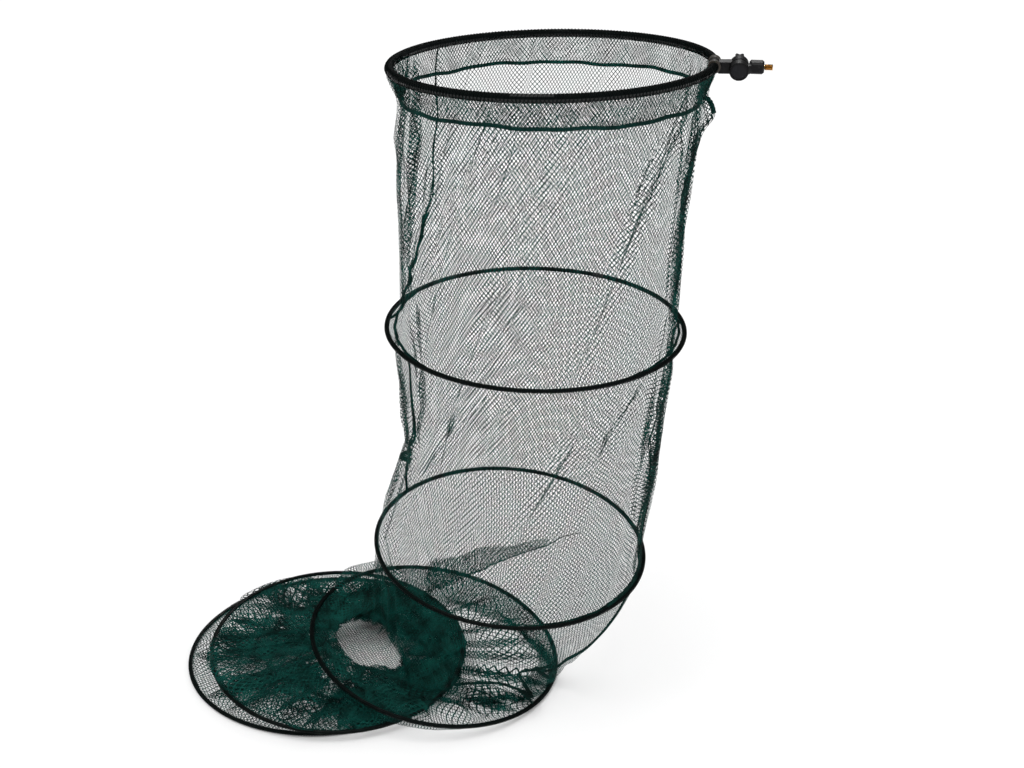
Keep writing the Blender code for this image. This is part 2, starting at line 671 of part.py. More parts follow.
def make_hoop(name, empty):
    """A wire hoop whose two ends butt inside a short joiner, on a straight stretch between two steps."""
    radius = hoop_radius(name)
    step = FULL_TURN / HOOP_STEPS
    flat_reach = radius * math.cos(step / 2.0)
    points = [Vector((flat_reach, BUTT_GAP / 2.0, 0.0))]
    points += arc_points(radius, step / 2.0, FULL_TURN - step / 2.0, HOOP_STEPS - 1)
    points.append(Vector((flat_reach, -BUTT_GAP / 2.0, 0.0)))
    turned = Matrix.Rotation(math.radians(HOOPS[name]["turn"]), 4, "Z")
    wire = add_part(name, tube_curve(name, points, WIRE_RADIUS, 2), "coated_wire", empty, turned)
    solid_from_curve(wire)

    half = JOINER_LENGTH / 2.0
    bore = WIRE_RADIUS + GAP
    profile = ring_profile(bore, bore + JOINER_WALL, -half, half, JOINER_WALL / 2.0)
    at_flat = turned @ Matrix.Translation((flat_reach, 0.0, 0.0))
    facing = at_flat @ Matrix.Rotation(math.radians(-90.0), 4, "X")
    joiner_name = name + "_joiner"
    joiner = add_part(joiner_name, turned_mesh(joiner_name, profile, True), "gloss_plastic", empty, facing)
    turn(joiner, 12)


def rim_points(matrix, radius, seat, hub_seat=None):
    """Points round a hoop, seat above its plane, or hub_seat above it where the hub's ferrules are."""
    points = []
    for i in range(NET_SIDES):
        angle = FULL_TURN * i / NET_SIDES
        by_hub = abs(math.remainder(angle, FULL_TURN)) * radius < HUB_DIP_HALF
        height = hub_seat if hub_seat is not None and by_hub else seat
        points.append(matrix @ Vector((radius * math.cos(angle), radius * math.sin(angle), height)))
    return points


def make_panel(name, upper, upper_radius, upper_seat, hub_seat, lower_name):
    """A thin sleeve of net from the hoop above to the hoop below, with its main folds."""
    panel = PANELS[name]
    lower_seat = HOOP_SEAT
    if panel["lies_flat"]:
        upper_seat += NET_WALL / 2.0
        lower_seat += NET_WALL / 2.0
    top = rim_points(upper, upper_radius, -upper_seat, hub_seat)
    foot = rim_points(hoop_matrix(lower_name), hoop_radius(lower_name), lower_seat)
    rows = panel["rows"]
    form = bmesh.new()
    grid = []
    for row in range(rows + 1):
        share = row / rows
        swell = 4.0 * share * (1.0 - share)
        middle = sum(top, Vector()).lerp(sum(foot, Vector()), share) / NET_SIDES
        line = []
        for i in range(NET_SIDES):
            point = top[i].lerp(foot[i], share)
            fold = panel["fold_share"] * math.cos(FOLD_COUNT * FULL_TURN * i / NET_SIDES)
            pull = 1.0 - swell * (panel["waist_share"] + fold)
            line.append(form.verts.new(middle + (point - middle) * pull))
        grid.append(line)
    for row in range(rows):
        for i in range(NET_SIDES):
            after = (i + 1) % NET_SIDES
            form.faces.new((grid[row][i], grid[row + 1][i], grid[row + 1][after], grid[row][after]))
    mesh = bpy.data.meshes.new(name)
    form.to_mesh(mesh)
    form.free()
    smooth(mesh, 80.0)
    sleeve = add_part(name, mesh, "net", None, Matrix())
    shell = sleeve.modifiers.new("wall", "SOLIDIFY")
    shell.thickness = NET_WALL
    shell.offset = 0.0
    return sleeve


def make_collar(mouth):
    """The doubled band of net that hangs outside the mouth hoop, with the cord in its hem."""
    radius = MOUTH_RADIUS + COLLAR_OUTSET
    chord_dip = radius * (1.0 - math.cos(FULL_TURN / HEM_STEPS / 2.0))
    inset = COLLAR_OUTSET - NET_WALL / 2.0 - chord_dip
    top = -math.sqrt((MOUTH_TUBE_RADIUS + GAP) ** 2 - inset**2)
    foot = top - COLLAR_DEPTH
    profile = [
        (radius + NET_WALL / 2.0, top),
        (radius + NET_WALL / 2.0, foot),
        (radius - NET_WALL / 2.0, foot),
        (radius - NET_WALL / 2.0, top),
    ]
    collar = add_part("net_collar", turned_mesh("net_collar", profile, True), "net", mouth, Matrix())
    turn(collar, HEM_STEPS)
    slot_half = FERRULE_END + RUNNING_GAP
    low = (0.0, -slot_half, foot - CUT_OVERRUN)
    high = (MOUTH_RADIUS * COLLAR_SLOT_SHARE, slot_half, top + CUT_OVERRUN)
    slot = add_cutter("collar_slot", box_mesh("collar_slot", low, high), mouth, Matrix())
    combine(collar, slot, "DIFFERENCE")

    hem_height = foot - GAP - HEM_RADIUS
    end_angle = slot_half / radius
    points = arc_points(radius, end_angle, FULL_TURN - end_angle, HEM_STEPS)
    at_foot = Matrix.Translation((0.0, 0.0, hem_height))
    hem = add_part("hem_cord", tube_curve("hem_cord", points, HEM_RADIUS, 1), "cord", mouth, at_foot)
    solid_from_curve(hem)


def base_loops(radius):
    """The rim of the base net, and its diamond gaps on a square grid."""
    rim = [(point.x, point.y) for point in arc_points(radius, 0.0, FULL_TURN, HEM_STEPS)[:-1]]
    loops = [rim]
    half = (BASE_GAP_PITCH / math.sqrt(2.0)) - BASE_CORD_WIDTH * math.sqrt(2.0) / 2.0
    reach = int(radius / BASE_GAP_PITCH * math.sqrt(2.0)) + 2
    step = BASE_GAP_PITCH / math.sqrt(2.0)
    for column in range(-reach, reach + 1):
        for row in range(-reach, reach + 1):
            if (column + row) % 2:
                continue
            x, y = column * step, row * step
            if math.hypot(abs(x) + half, abs(y)) > radius - BASE_RIM_WIDTH:
                continue
            if math.hypot(abs(x), abs(y) + half) > radius - BASE_RIM_WIDTH:
                continue
            loops.append([(x + half, y), (x, y + half), (x - half, y), (x, y - half)])
    return loops


def make_base_net(empty):
    radius = hoop_radius("ring_6") * math.cos(FULL_TURN / HOOP_STEPS / 2.0) - HOOP_SEAT
    plate = outline_curve("base_net", base_loops(radius), NET_WALL / 2.0)
    solid_from_curve(add_part("base_net", plate, "net", empty, Matrix()))


clear_scene()
PARTS = new_collection(OBJECT_NAME)
CUTTERS = new_collection(OBJECT_NAME + "_cutters")
PIN_DRILLS = {}

stem_axis = new_empty("stem_axis", None, STEM_PLACE)
knob_axis = new_empty("knob_axis", stem_axis, Matrix())
frame_axis = new_empty("frame_axis", stem_axis, FRAME_TURN)
mouth_centre = new_empty("mouth_centre", frame_axis, MOUTH_OFFSET)

make_stem(stem_axis)
make_stud(stem_axis)
make_pivot_bolt(stem_axis)
make_front_cap(stem_axis)
make_friction_disc(frame_axis)
make_washer(knob_axis)
make_lock_knob(knob_axis)
make_knob_nut(knob_axis)
make_pin_drills(mouth_centre)
make_ring_hub(frame_axis, mouth_centre)
make_top_ring(mouth_centre)
make_ferrule("ferrule_front", mouth_centre, -1.0)
make_ferrule("ferrule_rear", mouth_centre, 1.0)
make_ring_pin("ring_pin_front", mouth_centre, -1.0)
make_ring_pin("ring_pin_rear", mouth_centre, 1.0)
make_collar(mouth_centre)

hoop_centres = {}
for hoop_name in HOOPS:
    hoop_centres[hoop_name] = new_empty(hoop_name + "_centre", None, hoop_matrix(hoop_name))
    make_hoop(hoop_name, hoop_centres[hoop_name])
make_base_net(hoop_centres["ring_6"])

upper, upper_radius, upper_seat = MOUTH_PLACE, MOUTH_RADIUS, MOUTH_TUBE_RADIUS + GAP
hub_seat = -(FERRULE_RADIUS + FERRULE_LIP + GAP)
for panel_name, hoop_name in zip(PANELS, HOOPS):
    make_panel(panel_name, upper, upper_radius, upper_seat, hub_seat, hoop_name)
    hub_seat = None
    upper, upper_radius, upper_seat = hoop_matrix(hoop_name), hoop_radius(hoop_name), HOOP_SEAT
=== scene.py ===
# %% [markdown]
# A keep net, hung up and half folded
#
# A keep net is a long tube of fine net, held open by hoops. It hangs from a bank stick by a small tilting
# connector on its mouth hoop. This lesson loads the measured frame of one, with its hoops, joints and
# connector, and then dresses it: five sleeves of net, a collar, seams, lashings and the finishes. Two of the
# sleeves hang, one is slack and is folded by cloth simulation, and two lie folded in the pile by a formula.

# %% Load the frame
import math
import random

import bpy
import numpy as np
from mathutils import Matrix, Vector


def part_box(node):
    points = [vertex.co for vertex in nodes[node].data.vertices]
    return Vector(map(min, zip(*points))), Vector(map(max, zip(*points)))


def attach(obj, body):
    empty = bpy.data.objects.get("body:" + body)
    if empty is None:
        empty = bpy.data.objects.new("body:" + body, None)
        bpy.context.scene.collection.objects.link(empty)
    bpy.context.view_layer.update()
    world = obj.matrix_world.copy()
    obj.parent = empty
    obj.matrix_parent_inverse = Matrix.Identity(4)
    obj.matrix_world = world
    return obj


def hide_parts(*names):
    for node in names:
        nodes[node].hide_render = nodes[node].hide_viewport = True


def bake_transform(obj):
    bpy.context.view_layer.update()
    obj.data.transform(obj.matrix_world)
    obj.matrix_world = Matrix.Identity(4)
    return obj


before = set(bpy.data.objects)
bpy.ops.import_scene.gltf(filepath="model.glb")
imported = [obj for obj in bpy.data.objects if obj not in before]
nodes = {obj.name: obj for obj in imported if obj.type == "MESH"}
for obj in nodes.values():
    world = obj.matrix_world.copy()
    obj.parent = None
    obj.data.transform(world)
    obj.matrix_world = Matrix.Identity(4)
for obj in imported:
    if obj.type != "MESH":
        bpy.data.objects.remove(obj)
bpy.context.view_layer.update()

# %% [markdown]
# The camera stands a little above the mouth hoop and looks down, as the photographer did. A lens of
# 52.7 mm on a 36 mm sensor gives the same perspective, which shows in how much wider the mouth hoop looks
# than the hoops on the ground.

# %% Camera
CAMERA_PLACE, CAMERA_TURN = (-0.0731, -2.2380, 0.4722), (math.radians(66.0), 0.0, math.radians(8.0))
LENS_MM, SENSOR_MM = 52.73, 36.0


def put_in_scene(name, data):
    """An object for some data, linked to the scene."""
    thing = bpy.data.objects.new(name, data)
    bpy.context.scene.collection.objects.link(thing)
    return thing


camera_data = bpy.data.cameras.new("camera")
camera_data.lens, camera_data.sensor_width = LENS_MM, SENSOR_MM
camera = put_in_scene("camera", camera_data)
camera.location, camera.rotation_euler = CAMERA_PLACE, CAMERA_TURN
bpy.context.scene.camera = camera
print("the camera stands at", CAMERA_PLACE)

# %% [markdown]
# A fine net is only readable against something plain, so the floor is one large, nearly white sheet. Its
# material is a plain one, and the helper that makes it is where every later material starts.

# %% Floor
GROUND, FLOOR_REACH = -1.0658, 60.0


def new_material(name, **values):
    """A material, its tree and its shader, with the shader's constants set on its own sockets."""
    material = bpy.data.materials.new(name)
    material.use_nodes = True
    shader = material.node_tree.nodes["Principled BSDF"]
    for label, value in values.items():
        shader.inputs[label.replace("_", " ")].default_value = value
    return material, material.node_tree, shader


corners = [(FLOOR_REACH * x, FLOOR_REACH * y, GROUND) for x, y in ((-1, -1), (1, -1), (1, 1), (-1, 1))]
white = new_material("white_floor", Base_Color=(0.96, 0.96, 0.96, 1.0), Roughness=0.9)[0]
floor_mesh = bpy.data.meshes.new("floor")
floor_mesh.from_pydata(corners, [], [(0, 1, 2, 3)])
floor_mesh.materials.append(white)
floor = put_in_scene("floor", floor_mesh)
print("the floor lies at %.4f m" % GROUND)

# %% [markdown]
# The world is white too, and a broad sun overhead leaves a faint shadow under the folded hoops. Glossy tubes
# would reflect the white world, so it is darker for glossy rays, and two narrow lamps put the glints on
# instead. One helper adds a node with its values and links, and one spreads a value over another range.

# %% World and lamps
LIGHT_OF_WORLD, SEEN_IN_GLOSS = 0.75, 0.12
SUN_POWER, GLINT_POWER, BACK_GLINT_POWER = 1.3, 24.0, 26.0


def add_node(tree, kind, inputs=None, **settings):
    """Add a node to a tree. inputs gives a value, or another node's socket, for each of its own sockets."""
    node = tree.nodes.new(kind)
    for key, value in settings.items():
        setattr(node, key, value)
    for label, value in (inputs or {}).items():
        if isinstance(value, bpy.types.NodeSocket):
            tree.links.new(value, node.inputs[label])
        else:
            node.inputs[label].default_value = value
    return node


def ramp(tree, value, low, high, to_low=0.0, to_high=1.0):
    """Spread a value from low..high to another range, and clamp it."""
    return add_node(tree, "ShaderNodeMapRange", {"Value": value, "From Min": low, "From Max": high,
                                                 "To Min": to_low, "To Max": to_high}).outputs[0]


world = bpy.data.worlds.new("studio")
world.use_nodes = True
sky = world.node_tree
seen = add_node(sky, "ShaderNodeLightPath")
lit = ramp(sky, seen.outputs["Is Glossy Ray"], 0.0, 1.0, LIGHT_OF_WORLD, SEEN_IN_GLOSS)
backdrop = sky.nodes["Background"].inputs
backdrop["Color"].default_value = (1.0, 1.0, 1.0, 1.0)
sky.links.new(ramp(sky, seen.outputs["Is Camera Ray"], 0.0, 1.0, lit), backdrop["Strength"])
bpy.context.scene.world = world
bpy.context.scene.view_settings.view_transform = "Standard"


def glint_lamp(name, place, aim, size, power):
    """A narrow lamp, turned to face a point, that only makes highlights and lights nothing else."""
    data = bpy.data.lights.new(name, "AREA")
    data.shape, data.energy = "RECTANGLE", power
    data.size, data.size_y = size
    lamp = put_in_scene(name, data)
    lamp.location = place
    lamp.rotation_euler = (Vector(aim) - Vector(place)).to_track_quat("-Z", "Y").to_euler()
    lamp.visible_diffuse = False


sun_data = bpy.data.lights.new("overhead_light", "SUN")
sun_data.energy, sun_data.angle = SUN_POWER, math.radians(50.0)
sun = put_in_scene("overhead_light", sun_data)
sun.rotation_euler = (math.radians(18.0), math.radians(-10.0), 0.0)
glint_lamp("strip_lamp", (-0.38, -2.0, 2.2), (-0.35, 0.0, 0.0), (0.9, 0.06), GLINT_POWER)
glint_lamp("back_strip", (-0.15, 2.0, 2.0), (-0.35, 0.0, 0.0), (0.6, 0.06), BACK_GLINT_POWER)
print("a sun of", SUN_POWER, "and lamps of", GLINT_POWER, "and", BACK_GLINT_POWER)

# %% [markdown]
# Each hoop in the frame is a plain mesh. Fitting a circle to it gives its centre, its radius and the way it
# faces, so everything that hangs on a hoop takes its place from the hoop itself.

# %% Read the hoops
def fit_hoop(node):
    """The centre, radius and in-plane directions of a hoop, from the points of its mesh."""
    points = np.array([vertex.co for vertex in nodes[node].data.vertices])
    middle = points.mean(axis=0)
    normal = np.linalg.svd(points - middle, full_matrices=False)[2][2]
    normal = normal if normal[2] > 0 else -normal
    along = np.array([1.0, 0.0, 0.0]) - normal[0] * normal
    along /= np.linalg.norm(along)
    across = np.cross(normal, along)
    x, y = (points - middle) @ along, (points - middle) @ across
    terms = np.column_stack([2 * x, 2 * y, np.ones(len(x))])
    centre_x, centre_y, rest = np.linalg.lstsq(terms, x**2 + y**2, rcond=None)[0]
    centre = middle + centre_x * along + centre_y * across
    radius = math.sqrt(rest + centre_x**2 + centre_y**2)
    return {"centre": centre, "radius": radius, "along": along, "across": across, "normal": normal}


HOOP_NODES = ["top_ring", "ring_2", "ring_3", "ring_4", "ring_5", "ring_6"]
BODIES = ["frame", "hoop_2", "hoop_3", "hoop_4", "hoop_5", "hoop_6"]
hoops = [fit_hoop(node) for node in HOOP_NODES]
for node, hoop in zip(HOOP_NODES, hoops):
    print(node, "radius %.4f at" % hoop["radius"], hoop["centre"].round(4))


def on_hoop(hoop, angles, reach=0.0, lift=0.0):
    """Points round a hoop, reach outside its line and lift above its plane."""
    out = np.broadcast_to(hoop["radius"] + np.asarray(reach), (len(angles),))
    lifts = np.broadcast_to(np.asarray(lift, float), (len(angles),))
    ring = np.outer(np.cos(angles), hoop["along"]) + np.outer(np.sin(angles), hoop["across"])
    return hoop["centre"] + ring * out[:, None] + np.outer(lifts, hoop["normal"])


# %% [markdown]
# A pattern or effect that several materials share is a node group with its own inputs and outputs. Such trees
# are long chains of small sums, so four short helpers make the group, a sum, a vector sum and a noise.

# %% Helpers for node groups
def new_group(name, inputs, outputs, kind="ShaderNodeTree"):
    """An empty node group with its sockets, each given as (name, type, and a value if it has one)."""
    tree = bpy.data.node_groups.new(name, kind)
    for label, sort, *value in inputs:
        socket = tree.interface.new_socket(name=label, in_out="INPUT", socket_type="NodeSocket" + sort)
        if value:
            socket.default_value = value[0]
    for label, sort in outputs:
        tree.interface.new_socket(name=label, in_out="OUTPUT", socket_type="NodeSocket" + sort)
    entry, end = tree.nodes.new("NodeGroupInput"), tree.nodes.new("NodeGroupOutput")
    return tree, list(entry.outputs)[:len(inputs)], end


def math_node(tree, operation, *values, clamp=False):
    """The result of a math node; each value is a number or a socket."""
    node = add_node(tree, "ShaderNodeMath", dict(enumerate(values)), operation=operation, use_clamp=clamp)
    return node.outputs[0]


def vector_node(tree, operation, *vectors, **scale):
    """The result of a vector math node; Scale is given by its name."""
    values = {**dict(enumerate(vectors)), **scale}
    return add_node(tree, "ShaderNodeVectorMath", values, operation=operation).outputs[0]


def noise_node(tree, vector, scale, detail=2.0, roughness=0.5):
    """A noise texture that reads the given coordinates."""
    return add_node(tree, "ShaderNodeTexNoise", {"Vector": vector, "Scale": scale, "Detail": detail,
                                                 "Roughness": roughness})


# %% [markdown]
# The net is knotless: braided threads run both ways and merge where they cross, which leaves upright
# diamonds of about 5.5 by 8.6 mm. Modelling every thread would take more than a million faces. A sleeve is
# one smooth sheet instead, and its material leaves the holes out. The pattern reads the sheet's own UV map,
# which is in metres of flat net, so it gathers and slants where the sheet folds.

# %% The mesh pattern
CELL_WIDTH, CELL_HEIGHT, THREAD = 0.0055, 0.0086, 0.00096


def make_diamond_group():
    """Diamond mesh on a map in metres: 1 on a thread, 0 in a hole, with the thread's round height."""
    tree, (place, width, height, thread, wander), end = new_group(
        "diamond_mesh", [("Map", "Vector"), ("Cell Width", "Float", CELL_WIDTH),
                         ("Cell Height", "Float", CELL_HEIGHT), ("Thread", "Float", THREAD),
                         ("Wander", "Float", 0.0006)], [("Mask", "Float"), ("Height", "Float")])
    drift = noise_node(tree, place, 45.0, 1.0)
    shift = vector_node(tree, "SUBTRACT", drift.outputs["Color"], (0.5, 0.5, 0.5))
    moved = vector_node(tree, "ADD", place, vector_node(tree, "SCALE", shift, Scale=wander))
    split = add_node(tree, "ShaderNodeSeparateXYZ", {0: moved})
    across = math_node(tree, "DIVIDE", split.outputs["X"], width)
    down = math_node(tree, "DIVIDE", split.outputs["Y"], height)
    gaps = []
    for operation in ("ADD", "SUBTRACT"):
        beat = math_node(tree, "FRACT", math_node(tree, "ADD", math_node(tree, operation, across, down), 0.5))
        gaps.append(math_node(tree, "ABSOLUTE", math_node(tree, "SUBTRACT", beat, 0.5)))
    nearest = math_node(tree, "SMOOTH_MIN", *gaps, 0.06)
    wide, tall = math_node(tree, "DIVIDE", 1.0, width), math_node(tree, "DIVIDE", 1.0, height)
    rate = math_node(tree, "SQRT", math_node(tree, "ADD", math_node(tree, "MULTIPLY", wide, wide),
                                             math_node(tree, "MULTIPLY", tall, tall)))
    half = math_node(tree, "MULTIPLY", math_node(tree, "MULTIPLY", thread, 0.5), rate)
    share = math_node(tree, "DIVIDE", nearest, half)
    tree.links.new(ramp(tree, share, 1.06, 0.94), end.inputs["Mask"])
    inside = math_node(tree, "SUBTRACT", 1.0, math_node(tree, "MULTIPLY", share, share))
    tree.links.new(math_node(tree, "SQRT", math_node(tree, "MAXIMUM", inside, 0.0)), end.inputs["Height"])
    return tree


diamond_mesh = make_diamond_group()
print("the net's mesh is %.1f by %.1f mm" % (1000 * CELL_WIDTH, 1000 * CELL_HEIGHT))

# %% [markdown]
# The material lets most light through to what lies behind: a shadow or diffuse ray meets a thinner net than
# the camera does, as real thread scatters light and the folds in the pile stay readable.

# %% The net's material
SHINE_THROUGH = 0.85


def place_group(tree, group, **values):
    """Put a node group in a tree; each value is a number, a vector or a socket."""
    inputs = {label.replace("_", " "): value for label, value in values.items()}
    return add_node(tree, "ShaderNodeGroup", inputs, node_tree=group)


def mix_colour(tree, factor, first, second):
    """Blend two colours; each is a triple or a socket."""
    ends = {label: value if isinstance(value, bpy.types.NodeSocket) else (*value, 1.0)
            for label, value in (("A", first), ("B", second))}
    return add_node(tree, "ShaderNodeMix", {**ends, "Factor": factor}, data_type="RGBA").outputs["Result"]


def add_bump(tree, shader, height, strength, distance):
    """Let a height pattern stand out of the shader's surface."""
    bump = add_node(tree, "ShaderNodeBump", {"Strength": strength, "Distance": distance, "Height": height})
    tree.links.new(bump.outputs["Normal"], shader.inputs["Normal"])


def net_material(name, colour, tone_and_painted_shade, thread=THREAD, height=CELL_HEIGHT):
    """Green twine with diamond holes. Its colour drifts at random to a near-black painted shade, partly the
    twine's own darker tone.
    """
    material, tree, shader = new_material(name, Roughness=0.75, Specular_IOR_Level=0.05)
    place = add_node(tree, "ShaderNodeUVMap", uv_map="flat_net").outputs["UV"]
    pattern = place_group(tree, diamond_mesh, Map=place, Thread=thread, Cell_Height=height)
    ray = add_node(tree, "ShaderNodeLightPath")
    passing = math_node(tree, "MAXIMUM", ray.outputs["Is Shadow Ray"], ray.outputs["Is Diffuse Ray"])
    thinner = math_node(tree, "SUBTRACT", 1.0, math_node(tree, "MULTIPLY", passing, SHINE_THROUGH))
    tree.links.new(math_node(tree, "MULTIPLY", pattern.outputs["Mask"], thinner), shader.inputs["Alpha"])
    # The colour drifts at random between a lit green and a near-black painted shade: partly the twine's own
    # tone, partly painted highlight and shade that stand for lit and shaded net in the pile.
    tone = ramp(tree, noise_node(tree, place, 30.0, 3.0).outputs["Fac"], 0.38, 0.62)
    tree.links.new(mix_colour(tree, tone, tone_and_painted_shade, colour), shader.inputs["Base Color"])
    add_bump(tree, shader, pattern.outputs["Height"], 0.6, 0.0005)
    return material


# Each net runs from a lit green to a near-black painted shade.
net_green = net_material("green_net", (0.003, 0.060, 0.048), (0.0005, 0.007, 0.006))
middle_net = net_material("middle_net", (0.003, 0.052, 0.041), (0.0005, 0.007, 0.006), thread=0.00101)
fine_net = net_material("collar_net", (0.003, 0.048, 0.038), (0.001, 0.010, 0.008), thread=0.00056,
                        height=0.0078)
print("net for the sleeves, for the one that hangs lower, and for the collar")

# %% [markdown]
# A sleeve is a grid: columns round it and rows down it. Its UV map holds the flat size of the net. The maker
# cuts every sleeve from the same tube of 278 meshes, so where a hoop is smaller the meshes crowd together.

# %% The sheet of a sleeve
COLUMNS, MESHES_ROUND, MESHES_DOWN = 384, 278, 49
FLAT_GIRTH, FLAT_DROP = MESHES_ROUND * CELL_WIDTH, MESHES_DOWN * CELL_HEIGHT


def net_object(name, points, faces, spots, material):
    """A smooth sheet of net; spots are the places of its faces' corners on the flat net, in metres."""
    mesh = bpy.data.meshes.new(name)
    mesh.from_pydata(points, [], faces)
    mesh.uv_layers.new(name="flat_net").data.foreach_set("uv", np.ravel(spots))
    mesh.materials.append(material)
    mesh.shade_smooth()
    return put_in_scene(name, mesh)


def sheet_object(name, grid, material, girth=FLAT_GIRTH, drop=FLAT_DROP):
    """A closed sleeve from a grid of points (rows, columns, 3), mapped by its flat size."""
    rows, columns = grid.shape[0] - 1, grid.shape[1]
    row, column = np.divmod(np.arange(rows * columns), columns)
    after = (column + 1) % columns
    faces = np.column_stack([row * columns + column, (row + 1) * columns + column,
                             (row + 1) * columns + after, row * columns + after])
    left, right = girth * column / columns, girth * (column + 1) / columns
    top, foot = -drop * row / rows, -drop * (row + 1) / rows
    spots = np.column_stack([left, top, left, foot, right, foot, right, top])
    return net_object(name, grid.reshape(-1, 3).tolist(), faces.tolist(), spots, material)


def surface_area(grid):
    """The area of a closed grid of points, in square metres."""
    around = np.roll(grid, -1, axis=1)[:-1] - grid[:-1]
    down = grid[1:] - grid[:-1]
    return float(np.linalg.norm(np.cross(around, down), axis=2).sum())


def print_share(name, grid):
    """Say how much of its flat net a sleeve shows; 1 is neither stretched nor slack."""
    print(name, "share of its flat area %.2f" % (surface_area(grid) / (FLAT_GIRTH * FLAT_DROP)))


print("a sleeve is cut %.3f by %.3f m" % (FLAT_GIRTH, FLAT_DROP))

# %% [markdown]
# The two upper sleeves hang from hoop to hoop under their own weight. Net that is wider than it needs to be
# falls into pleats, where the sheet doubles back on itself and looks darker. A pleat is a shift of the
# columns towards a line, strong enough to turn the sheet over, and a push in or out so that its layers part.
# Here a formula gives the same shape on every run, and it can be set against the photograph pleat by pleat.

# %% Pleats
LEFT, RIGHT, FRONT, BACK = math.pi, 0.0, -0.5 * math.pi, 0.5 * math.pi
PLEAT_DEPTH = 0.0045


def near_side(angles, middle, spread):
    """How near each angle is to a direction: one there, falling to nothing about two spreads away."""
    return np.exp(-((np.angle(np.exp(1j * (angles - middle))) / spread) ** 2))


def make_pleats(seed, count, middle, spread, width, turn, lean):
    """Pleats round a direction: each is (angle, lean, width, turn over, depth, start, end)."""
    pick = random.Random(seed)
    return [(middle + pick.uniform(-spread, spread), lean * pick.uniform(0.2, 1.4),
             width * pick.uniform(0.6, 1.5), turn * pick.uniform(0.55, 1.1),
             PLEAT_DEPTH * pick.uniform(-0.6, 1.0), pick.uniform(-0.35, 0.25), pick.uniform(0.7, 1.4))
            for _ in range(count)]


def all_pleats(*rows):
    """The pleats of a whole sleeve; each row is what make_pleats needs for one side."""
    return [pleat for row in rows for pleat in make_pleats(*row)]


def pleated(base, pleats, share, strength, gain, wander=0.0):
    """The angles of the columns after the pleats have shifted them, and how far each column is pushed in.
    strength gives how much of a pleat shows at this share of the drop, from its start and end."""
    angles, push = base.copy(), np.zeros(len(base))
    for angle, lean, width, turn, depth, start, end in pleats:
        line = angle + lean * (share - 0.5) + wander * math.sin(7.0 * share + 40.0 * angle)
        off = np.angle(np.exp(1j * (base - line)))
        near = np.exp(-((off / width) ** 2)) * strength(start, end)
        angles = angles - gain * turn * off * near
        push = push + depth * near * (1.0 + 2.0 * off / width)
    return angles, push


UPPER_CREASES = [(math.radians(223.3), -1.75, 0.018, 1.1, 0.003, 0.02, 0.33),
                 (math.radians(302.0), -0.87, 0.018, 1.1, 0.003, 0.12, 0.55)]
MIDDLE_CREASES = [(math.radians(285.7), -1.38, 0.020, 1.1, 0.003, -0.30, 0.36),
                  (math.radians(314.4), -1.17, 0.018, 1.1, 0.003, 0.10, 0.44),
                  (math.radians(227.4), -1.20, 0.018, 1.1, 0.003, -0.30, 0.40)]
upper_pleats = all_pleats(
    (11, 17, LEFT, 0.60, 0.034, 1.05, 0.12), (12, 28, RIGHT, 0.50, 0.030, 1.05, -0.08),
    (13, 9, FRONT, 1.1, 0.045, 0.55, -0.7), (14, 9, BACK, 1.1, 0.045, 0.55, 0.7)) + UPPER_CREASES
middle_pleats = all_pleats(
    (21, 15, LEFT, 0.60, 0.035, 1.05, -0.25), (22, 20, RIGHT, 0.50, 0.030, 1.05, -0.1),
    (23, 10, FRONT, 1.1, 0.050, 0.6, -0.8), (24, 9, BACK, 1.1, 0.050, 0.6, 0.8)) + MIDDLE_CREASES
print(len(upper_pleats), "and", len(middle_pleats), "pleats")

# %% [markdown]
# The seams at the left and right pull a sleeve in, by another amount at each height. Two tables give it, in
# shares of the drop and in metres. They decide the net's outline, which is what an eye compares first.

# %% Hanging sleeves
UPPER_LEFT = ([0.0, 0.05, 0.13, 0.17, 0.256, 0.327, 0.465, 0.6, 0.78, 0.9, 0.97, 1.0],
              [0.0, 0.005, 0.0123, 0.0115, 0.0054, 0.0090, 0.0087, 0.0130, 0.0150, 0.0185, 0.0150, 0.0])
UPPER_RIGHT = ([0.0, 0.03, 0.09, 0.2, 0.3, 0.4, 0.55, 0.75, 0.93, 0.97, 1.0],
               [0.0, 0.002, 0.005, 0.005, 0.0078, 0.0118, 0.0142, 0.0145, 0.0138, 0.0125, 0.0])
MIDDLE_LEFT = ([0.0, 0.03, 0.126, 0.21, 0.276, 0.346, 0.407, 0.463, 0.533, 0.561, 0.603, 0.673, 0.757, 0.836,
                0.883, 1.0],
               [0.0, 0.012, 0.0145, 0.0195, 0.0248, 0.0265, 0.0305, 0.0330, 0.0405, 0.0420, 0.0370, 0.0280,
                0.0190, 0.0110, 0.0060, 0.0])
MIDDLE_RIGHT = ([0.0, 0.02, 0.09, 0.145, 0.25, 0.34, 0.5, 0.6, 0.72, 0.84, 0.92, 0.98, 1.0],
                [0.0, 0.0125, 0.0105, 0.0069, 0.0063, 0.0043, 0.0003, -0.0005, 0.0024, 0.0047, 0.0066,
                 0.0035, 0.0])
CORNER_SHARE, CORNER_ABOVE, CORNER_BELOW = 0.178, 0.030, 0.046


